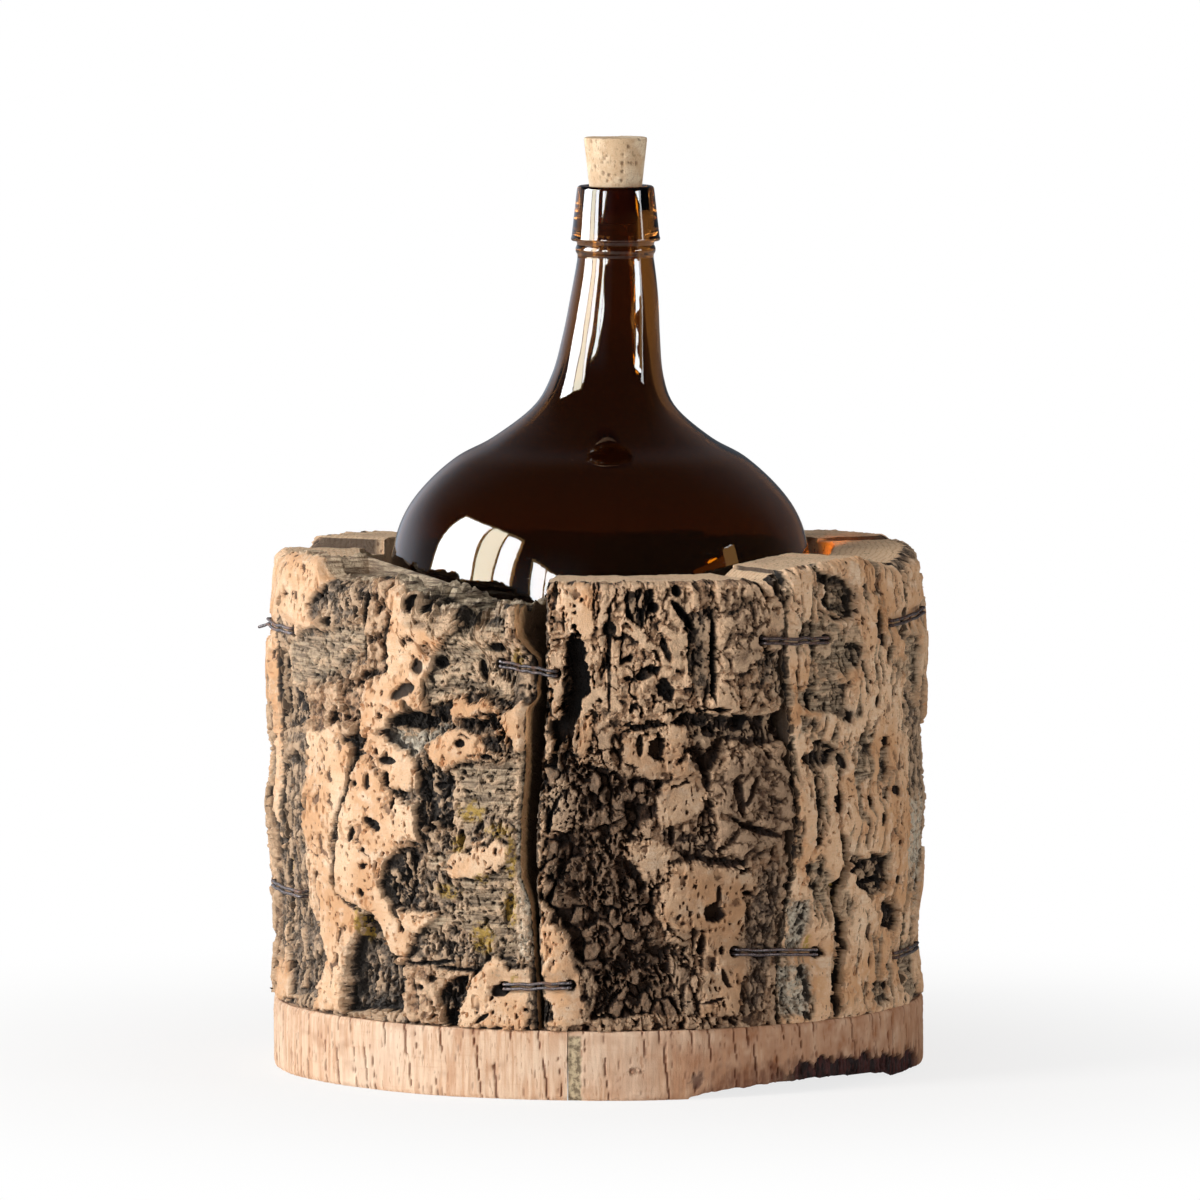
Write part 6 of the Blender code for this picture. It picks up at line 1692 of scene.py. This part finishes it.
def makeBoard(name, side, material):
    b = baseSettings
    edge = b["seamX"] + side * b["seamGap"] / 2
    deselectAll()
    bpy.ops.mesh.primitive_circle_add(vertices=b["points"], radius=1.0, fill_type="NGON", location=(0, 0, 0))
    board = startPiece(name)
    bpy.ops.object.mode_set(mode="EDIT")
    bpy.ops.mesh.select_all(action="SELECT")
    bpy.ops.mesh.bisect(
        plane_co=(edge / b["radius"], 0, 0), plane_no=(1, 0, 0), clear_inner=side > 0, clear_outer=side < 0)
    bpy.ops.mesh.select_all(action="SELECT")
    for _ in range(b["rows"]):
        bpy.ops.mesh.extrude_region_move(TRANSFORM_OT_translate={"value": (0, 0, 1 / b["rows"])})
    bpy.ops.mesh.select_all(action="SELECT")
    bpy.ops.mesh.normals_make_consistent(inside=False)
    bpy.ops.object.mode_set(mode="OBJECT")
    points = readPoints(board)
    flat = np.hypot(points[:, 0], points[:, 1])
    onRim = flat > 0.9995
    azimuth = np.degrees(np.arctan2(points[:, 0], -points[:, 1]))
    z = points[:, 2] * b["thickness"] * 1000
    h, masks = boardRelief(azimuth, z, 900)
    lift = decayLift(azimuth)
    height = lift + (b["thickness"] - lift) * points[:, 2]
    radius = np.where(onRim, boardRimRadius(azimuth) + h / 1000, flat * b["radius"])
    angle = np.radians(azimuth)
    x = radius * np.sin(angle)
    x = np.where(side * (x - edge) < 0, edge, x)
    x = np.where(onRim, x, edge)
    z = np.where(onRim, height, points[:, 2] * b["thickness"])
    writePoints(board, insideBox(np.stack([x, -radius * np.cos(angle), z], axis=1)))
    for key, field in masks.items():
        keepMask(board, key, np.where(onRim, field, 0))
    cutHoles(board, side)
    finishPiece(board, material, 40)
    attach(board, "casing")
    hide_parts("base_board_left" if side < 0 else "base_board_right")


corkBoard = boardMaterial()
makeBoard("left_base_board", -1, corkBoard)
makeBoard("right_base_board", 1, corkBoard)
print("base boards are done")


# pegs and dowels keep their own solids, with whittled wood

def pegMaterial():
    paint = Paint("pegWood")
    fibres = paint.noise(1, 4, 0.6, paint.stretched(600, 600, 50))
    fine = paint.noise(1300, 3, 0.6)
    color = paint.coats(
        tone(120, 84, 52), (fibres, 0.36, 0.64, 1, tone(176, 134, 90)),
        (fine, 0.6, 0.74, 0.5, tone(92, 60, 36)))
    normal = paint.bump(fibres, 0.0005, 0.6)
    return paint.finish(Base_Color=color, Roughness=fine * 0.15 + 0.68, Normal=normal)


pegWood = pegMaterial()
for name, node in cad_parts.items():
    if name.startswith("foot_peg") or name.startswith("board_dowel"):
        node.data.materials.clear()
        node.data.materials.append(pegWood)


# bottle

bottle = {
    "x": 0.0022,
    "shift": 0.0082,
    "foot": 0.0383,
    "height": 0.4531,
    "radius": 0.119,
    "belly": 0.224,
    "heel": 0.070,
    "pushUp": 0.024,
    "wall": 0.004,
    "neckRadius": 0.0213,
    "neckWall": 0.0083,
    "collarHeight": 0.031,
    "collarTop": 0.0216,
    "collarFoot": 0.0249,
    "lipRounding": 0.0022,
    "ringRadius": 0.0224,
    "ringHeight": 0.005,
    "ringGroove": 0.0022,
    "shoulder": [(0, 0), (0.032, 0.112), (0.062, 0.235), (0.105, 0.353), (0.194, 0.444), (0.412, 0.535),
        (0.616, 0.594), (0.806, 0.684), (0.922, 0.775), (0.986, 0.893), (1, 1)],
    "body": [(0, 0), (0.03, 0.165), (0.143, 0.39), (0.306, 0.61), (0.49, 0.79), (0.7, 0.93), (1, 1)],
    "sides": 160,
    "tint": (0.128, 0.047, 0.009, 1),
    "shoulderTint": (0.096, 0.038, 0.010, 1),
    # underside and floor inside: shares of the heel's radius and of the push-up's height
    "under": [(0.86, 0.10), (0.74, 0.34), (0.60, 0.60), (0.44, 0.80), (0.30, 0.91), (0.14, 0.98), (0, 1)],
    "floorInside": [(0.60, 0.60), (0.30, 0.90), (0, 1)],
    "underEdge": (0.93, 0.0004),
}
stopper = {
    "topRadius": 0.0178,
    "length": 0.049,
    "proud": 0.027,
    "taper": 0.110,
    "topRings": [0.86, 0.78, 0.70, 0.62, 0.54, 0.46, 0.38, 0.30, 0.22, 0.14, 0.07, 0],
    "chipAngle": 1.9,
    "edge": 0.0012,
    "clearance": 0.0003,
    "sides": 120,
}
lipHeight = bottle["foot"] + bottle["height"]
neckTop = lipHeight - bottle["collarHeight"] - bottle["ringHeight"] - 2 * bottle["ringGroove"]
bellyTop = bottle["foot"] + bottle["belly"]


def stopperRadius(height):
    return stopper["topRadius"] - stopper["taper"] * (lipHeight + stopper["proud"] - height)


def bottleOutline():
    # points of the wall's outer face from the lip to the underside, then of the inner face back up
    b = bottle
    wider, deeper = b["radius"] - b["neckRadius"], neckTop - bellyTop
    shoulder = [(b["neckRadius"] + wider * out, neckTop - deeper * down) for out, down in b["shoulder"]]
    narrower = b["radius"] - b["heel"]
    body = [(b["radius"] - narrower * out, bellyTop - b["belly"] * down) for out, down in b["body"]]
    wallLine = smoothPath(shoulder, 64) + smoothPath(body, 40)[1:]
    collarFoot = lipHeight - b["collarHeight"]
    ringTop = collarFoot - b["ringGroove"]
    ringFoot = ringTop - b["ringHeight"]
    edge = (b["ringRadius"] - b["neckRadius"]) / 2
    lip = b["lipRounding"]
    finish = [(b["collarTop"] - lip, lipHeight)]
    for step in range(1, 6):
        angle = step / 5 * math.pi / 2
        finish.append((b["collarTop"] - lip + lip * math.sin(angle), lipHeight - lip + lip * math.cos(angle)))
    # steps out from the collar's foot and up from it, in edges, and then in under the collar to the ring
    for out, up in ((-0.6, 5), (0, 3.2), (0.05, 2.2), (-0.35, 1), (-1, 0.3)):
        finish.append((b["collarFoot"] + edge * out, collarFoot + up * edge))
    finish += [(b["neckRadius"] + edge, collarFoot), (b["neckRadius"] + edge * 0.3, ringTop + edge * 0.3),
               (b["neckRadius"], ringTop)]
    least = b["neckRadius"] + 0.0002
    for step in range(9):
        bulge = math.sin(math.pi * step / 8) ** 0.7
        finish.append((least + (b["ringRadius"] - least) * bulge, ringTop - (ringTop - ringFoot) * step / 8))
    finish.append((b["neckRadius"], ringFoot - edge))
    underEdge, underRise = b["underEdge"]
    under = [(b["heel"] * underEdge, b["foot"] + underRise)]
    under += [(b["heel"] * out, b["foot"] + b["pushUp"] * up) for out, up in b["under"]]
    outer = [np.array(p) for p in finish] + wallLine + [np.array(p) for p in under]
    inner = []
    for i, (radius, height) in enumerate(wallLine[:-3]):
        before, after = wallLine[max(i - 1, 0)], wallLine[min(i + 1, len(wallLine) - 1)]
        run = (after - before) / np.linalg.norm(after - before)
        wall = b["neckWall"] + (b["wall"] - b["neckWall"]) * float(smooth(i / 32))
        inner.append(np.array([radius + run[1] * wall, height - run[0] * wall]))
    boreFoot = lipHeight - stopper["length"] + stopper["proud"] - stopper["clearance"]
    inner = [p for p in inner if p[1] < boreFoot - 0.002]
    bore = [(stopperRadius(lipHeight) + stopper["clearance"] + lip / 2, lipHeight),
            (stopperRadius(lipHeight) + stopper["clearance"], lipHeight - lip / 2),
            (stopperRadius(boreFoot) + stopper["clearance"], boreFoot)]
    floorInside = [(b["heel"] * 0.90, b["foot"] + b["wall"] * 1.5)]
    for out, up in b["floorInside"]:
        floorInside.append((b["heel"] * out, b["foot"] + b["pushUp"] * up + b["wall"]))
    inside = [np.array(p) for p in bore] + inner + [np.array(p) for p in floorInside]
    return outer, inside


def spinPiece(name, outline, sides):
    # one vertex is drawn along the outline by extrusions, and the line is spun round the Z axis
    deselectAll()
    bpy.ops.mesh.primitive_plane_add(size=0.01, location=(0, 0, 0))
    piece = startPiece(name)
    bpy.ops.object.mode_set(mode="EDIT")
    bpy.ops.mesh.select_mode(type="VERT")
    bpy.ops.mesh.select_all(action="SELECT")
    bpy.ops.mesh.merge(type="CENTER")
    bpy.ops.transform.translate(value=(float(outline[0][0]), 0, float(outline[0][1])))
    for before, after in zip(outline, outline[1:]):
        bpy.ops.mesh.extrude_region_move(TRANSFORM_OT_translate={
            "value": (float(after[0] - before[0]), 0, float(after[1] - before[1]))})
    bpy.ops.mesh.select_all(action="SELECT")
    bpy.ops.mesh.spin(steps=sides, angle=2 * math.pi, center=(0, 0, 0), axis=(0, 0, 1))
    bpy.ops.mesh.select_all(action="SELECT")
    bpy.ops.mesh.remove_doubles(threshold=1e-6)
    bpy.ops.mesh.normals_make_consistent(inside=False)
    bpy.ops.object.mode_set(mode="OBJECT")
    return piece


def glassMaterial():
    paint = Paint("amberGlass")
    wave = paint.noise(14, 2, 0.5)
    seed = paint.noise(900, 2, 0.5)
    dust = paint.span(paint.noise(2400, 2, 0.6), 0.70, 0.76)
    scratch = paint.span(paint.noise(1, 2, 0.4, paint.stretched(60, 60, 1400)), 0.70, 0.73)
    normal = paint.bump(wave, 0.004, 0.25)
    normal = paint.bump(seed, 0.0001, 0.05, normal)
    # the glass is darkest where it is thickest, at the shoulder
    height = paint.node("ShaderNodeSeparateXYZ", sockets={0: paint.place}, output="Z")
    thick = paint.span(height, 0.290, 0.340) * paint.span(height, 0.425, 0.385)
    return paint.finish(
        Base_Color=paint.mix(thick, bottle["tint"], bottle["shoulderTint"]), IOR=1.5, Transmission_Weight=1.0,
        Roughness=dust * 0.25 + 0.015 + scratch * 0.10, Normal=normal)


def makeBottle():
    outer, inside = bottleOutline()
    piece = spinPiece("amber_bottle", list(reversed(inside)) + outer, bottle["sides"])
    points = readPoints(piece)
    shiftStart = bellyTop + (neckTop - bellyTop) * 0.35
    shifted = smooth((points[:, 2] - shiftStart) / (neckTop - shiftStart))
    points[:, 0] += bottle["shift"] * shifted + bottle["x"]
    # hand blown: the wall wanders a little, but not where it meets the stopper and the base
    angle = np.arctan2(points[:, 1], points[:, 0])
    free = smooth((points[:, 2] - 0.06) / 0.03) * smooth((neckTop - 0.02 - points[:, 2]) / 0.05)
    sway = 0.00045 * cloud(angle * 1.6 + 20, points[:, 2] * 13, 31, 2) * free
    radial = points[:, :2] / np.maximum(np.hypot(points[:, 0], points[:, 1]), 1e-6)[:, None]
    points[:, :2] -= radial * np.abs(sway)[:, None]
    writePoints(piece, points)
    finishPiece(piece, glassMaterial(), 60)
    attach(piece, "bottle")
    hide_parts("glass_bottle")


makeBottle()


# stopper

def stopperMaterial():
    paint = Paint("stopperCork")
    fine = paint.noise(1500, 3, 0.6)
    small = paint.noise(420, 4, 0.6)
    broad = paint.noise(90, 3, 0.5)
    dashes = paint.noise(1, 2, 0.5, paint.stretched(900, 900, 260))
    color = paint.coats(
        tone(222, 192, 156), (broad, 0.4, 0.65, 1, tone(246, 226, 196)),
        (small, 0.55, 0.7, 0.5, tone(196, 152, 112)), (fine, 0.50, 0.60, 0.45, tone(204, 166, 128)),
        (dashes, 0.62, 0.69, 0.4, tone(128, 84, 52)))
    color = paint.mix(paint.mask("pore") * 0.60, color, tone(110, 72, 46))
    normal = paint.bump(small * 0.6 + fine * 0.4, 0.0008, 0.6)
    return paint.finish(Base_Color=color, Roughness=0.82 + fine * 0.1, Normal=normal, Specular_IOR_Level=0.3)


def makeStopper():
    top = lipHeight + stopper["proud"]
    foot = top - stopper["length"]
    edge = stopper["edge"]
    outline = [(0.0, foot), (stopperRadius(foot) * 0.5, foot), (stopperRadius(foot) - edge, foot)]
    rows = 70
    for step in range(rows + 1):
        height = foot + edge + (stopper["length"] - 2 * edge) * step / rows
        outline.append((stopperRadius(height), height))
    outline += [(stopper["topRadius"] - edge * 0.3, top - edge * 0.3), (stopper["topRadius"] - edge, top)]
    outline += [(stopper["topRadius"] * share, top) for share in stopper["topRings"]]
    piece = spinPiece("tapered_stopper", [np.array(p) for p in outline], stopper["sides"])
    points = readPoints(piece)
    angle = np.arctan2(points[:, 1], points[:, 0])
    flat = np.hypot(points[:, 0], points[:, 1])
    s, z = angle * 16, points[:, 2] * 1000
    near, _, number, _, _ = cells(s / 3.4, z / 4.6, 611)
    pore = smooth((0.06 + 0.24 * np.clip(number - 0.5, 0, 1) * 2 - near) / 0.12 + 0.3) * (number > 0.5)
    free = smooth((points[:, 2] - lipHeight - 0.001) / 0.002)
    h = (-0.9 * pore - 0.25 * np.abs(cloud(s / 2.2, z / 2.4, 612, 3))) * free
    # a chip out of the top edge
    chipAngle = np.abs(((angle - stopper["chipAngle"] + math.pi) % (2 * math.pi)) - math.pi)
    chip = smooth((0.55 - chipAngle) / 0.3) * smooth((points[:, 2] - (top - 0.0035)) / 0.002)
    chip = chip * smooth((flat - 0.010) / 0.004)
    h -= chip * (1.0 + 0.6 * cloud(s / 1.5, z / 1.5, 613, 2))
    onSide = flat > 0.4 * stopper["topRadius"]
    onTop = points[:, 2] > top - 1e-5
    scale = np.where(onSide, 1 + h / 1000 / np.maximum(flat, 1e-5), 1)
    rough = cloud(points[:, 0] * 380 + 9, points[:, 1] * 380, 614, 3)
    topRelief = np.where(onTop, -0.0003 * np.abs(rough), 0)
    near, _, number, _, _ = cells(points[:, 0] * 330 + 50, points[:, 1] * 330 + 50, 615)
    deep = smooth((0.22 - near) / 0.12) * (number > 0.6) * onTop
    points[:, 0] *= scale
    points[:, 1] *= scale
    points[:, 2] += topRelief - 0.0006 * deep - 0.0009 * chip
    points[:, 0] += bottle["x"] + bottle["shift"]
    points[:, 2] = np.minimum(points[:, 2], cadBox[1][2] - 0.000002)
    writePoints(piece, points)
    keepMask(piece, "pore", np.clip(pore * free + deep + chip * 0.25, 0, 1))
    finishPiece(piece, stopperMaterial(), 45)
    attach(piece, "stopper")
    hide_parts("cork_stopper")


makeStopper()
print("bottle and stopper are done")
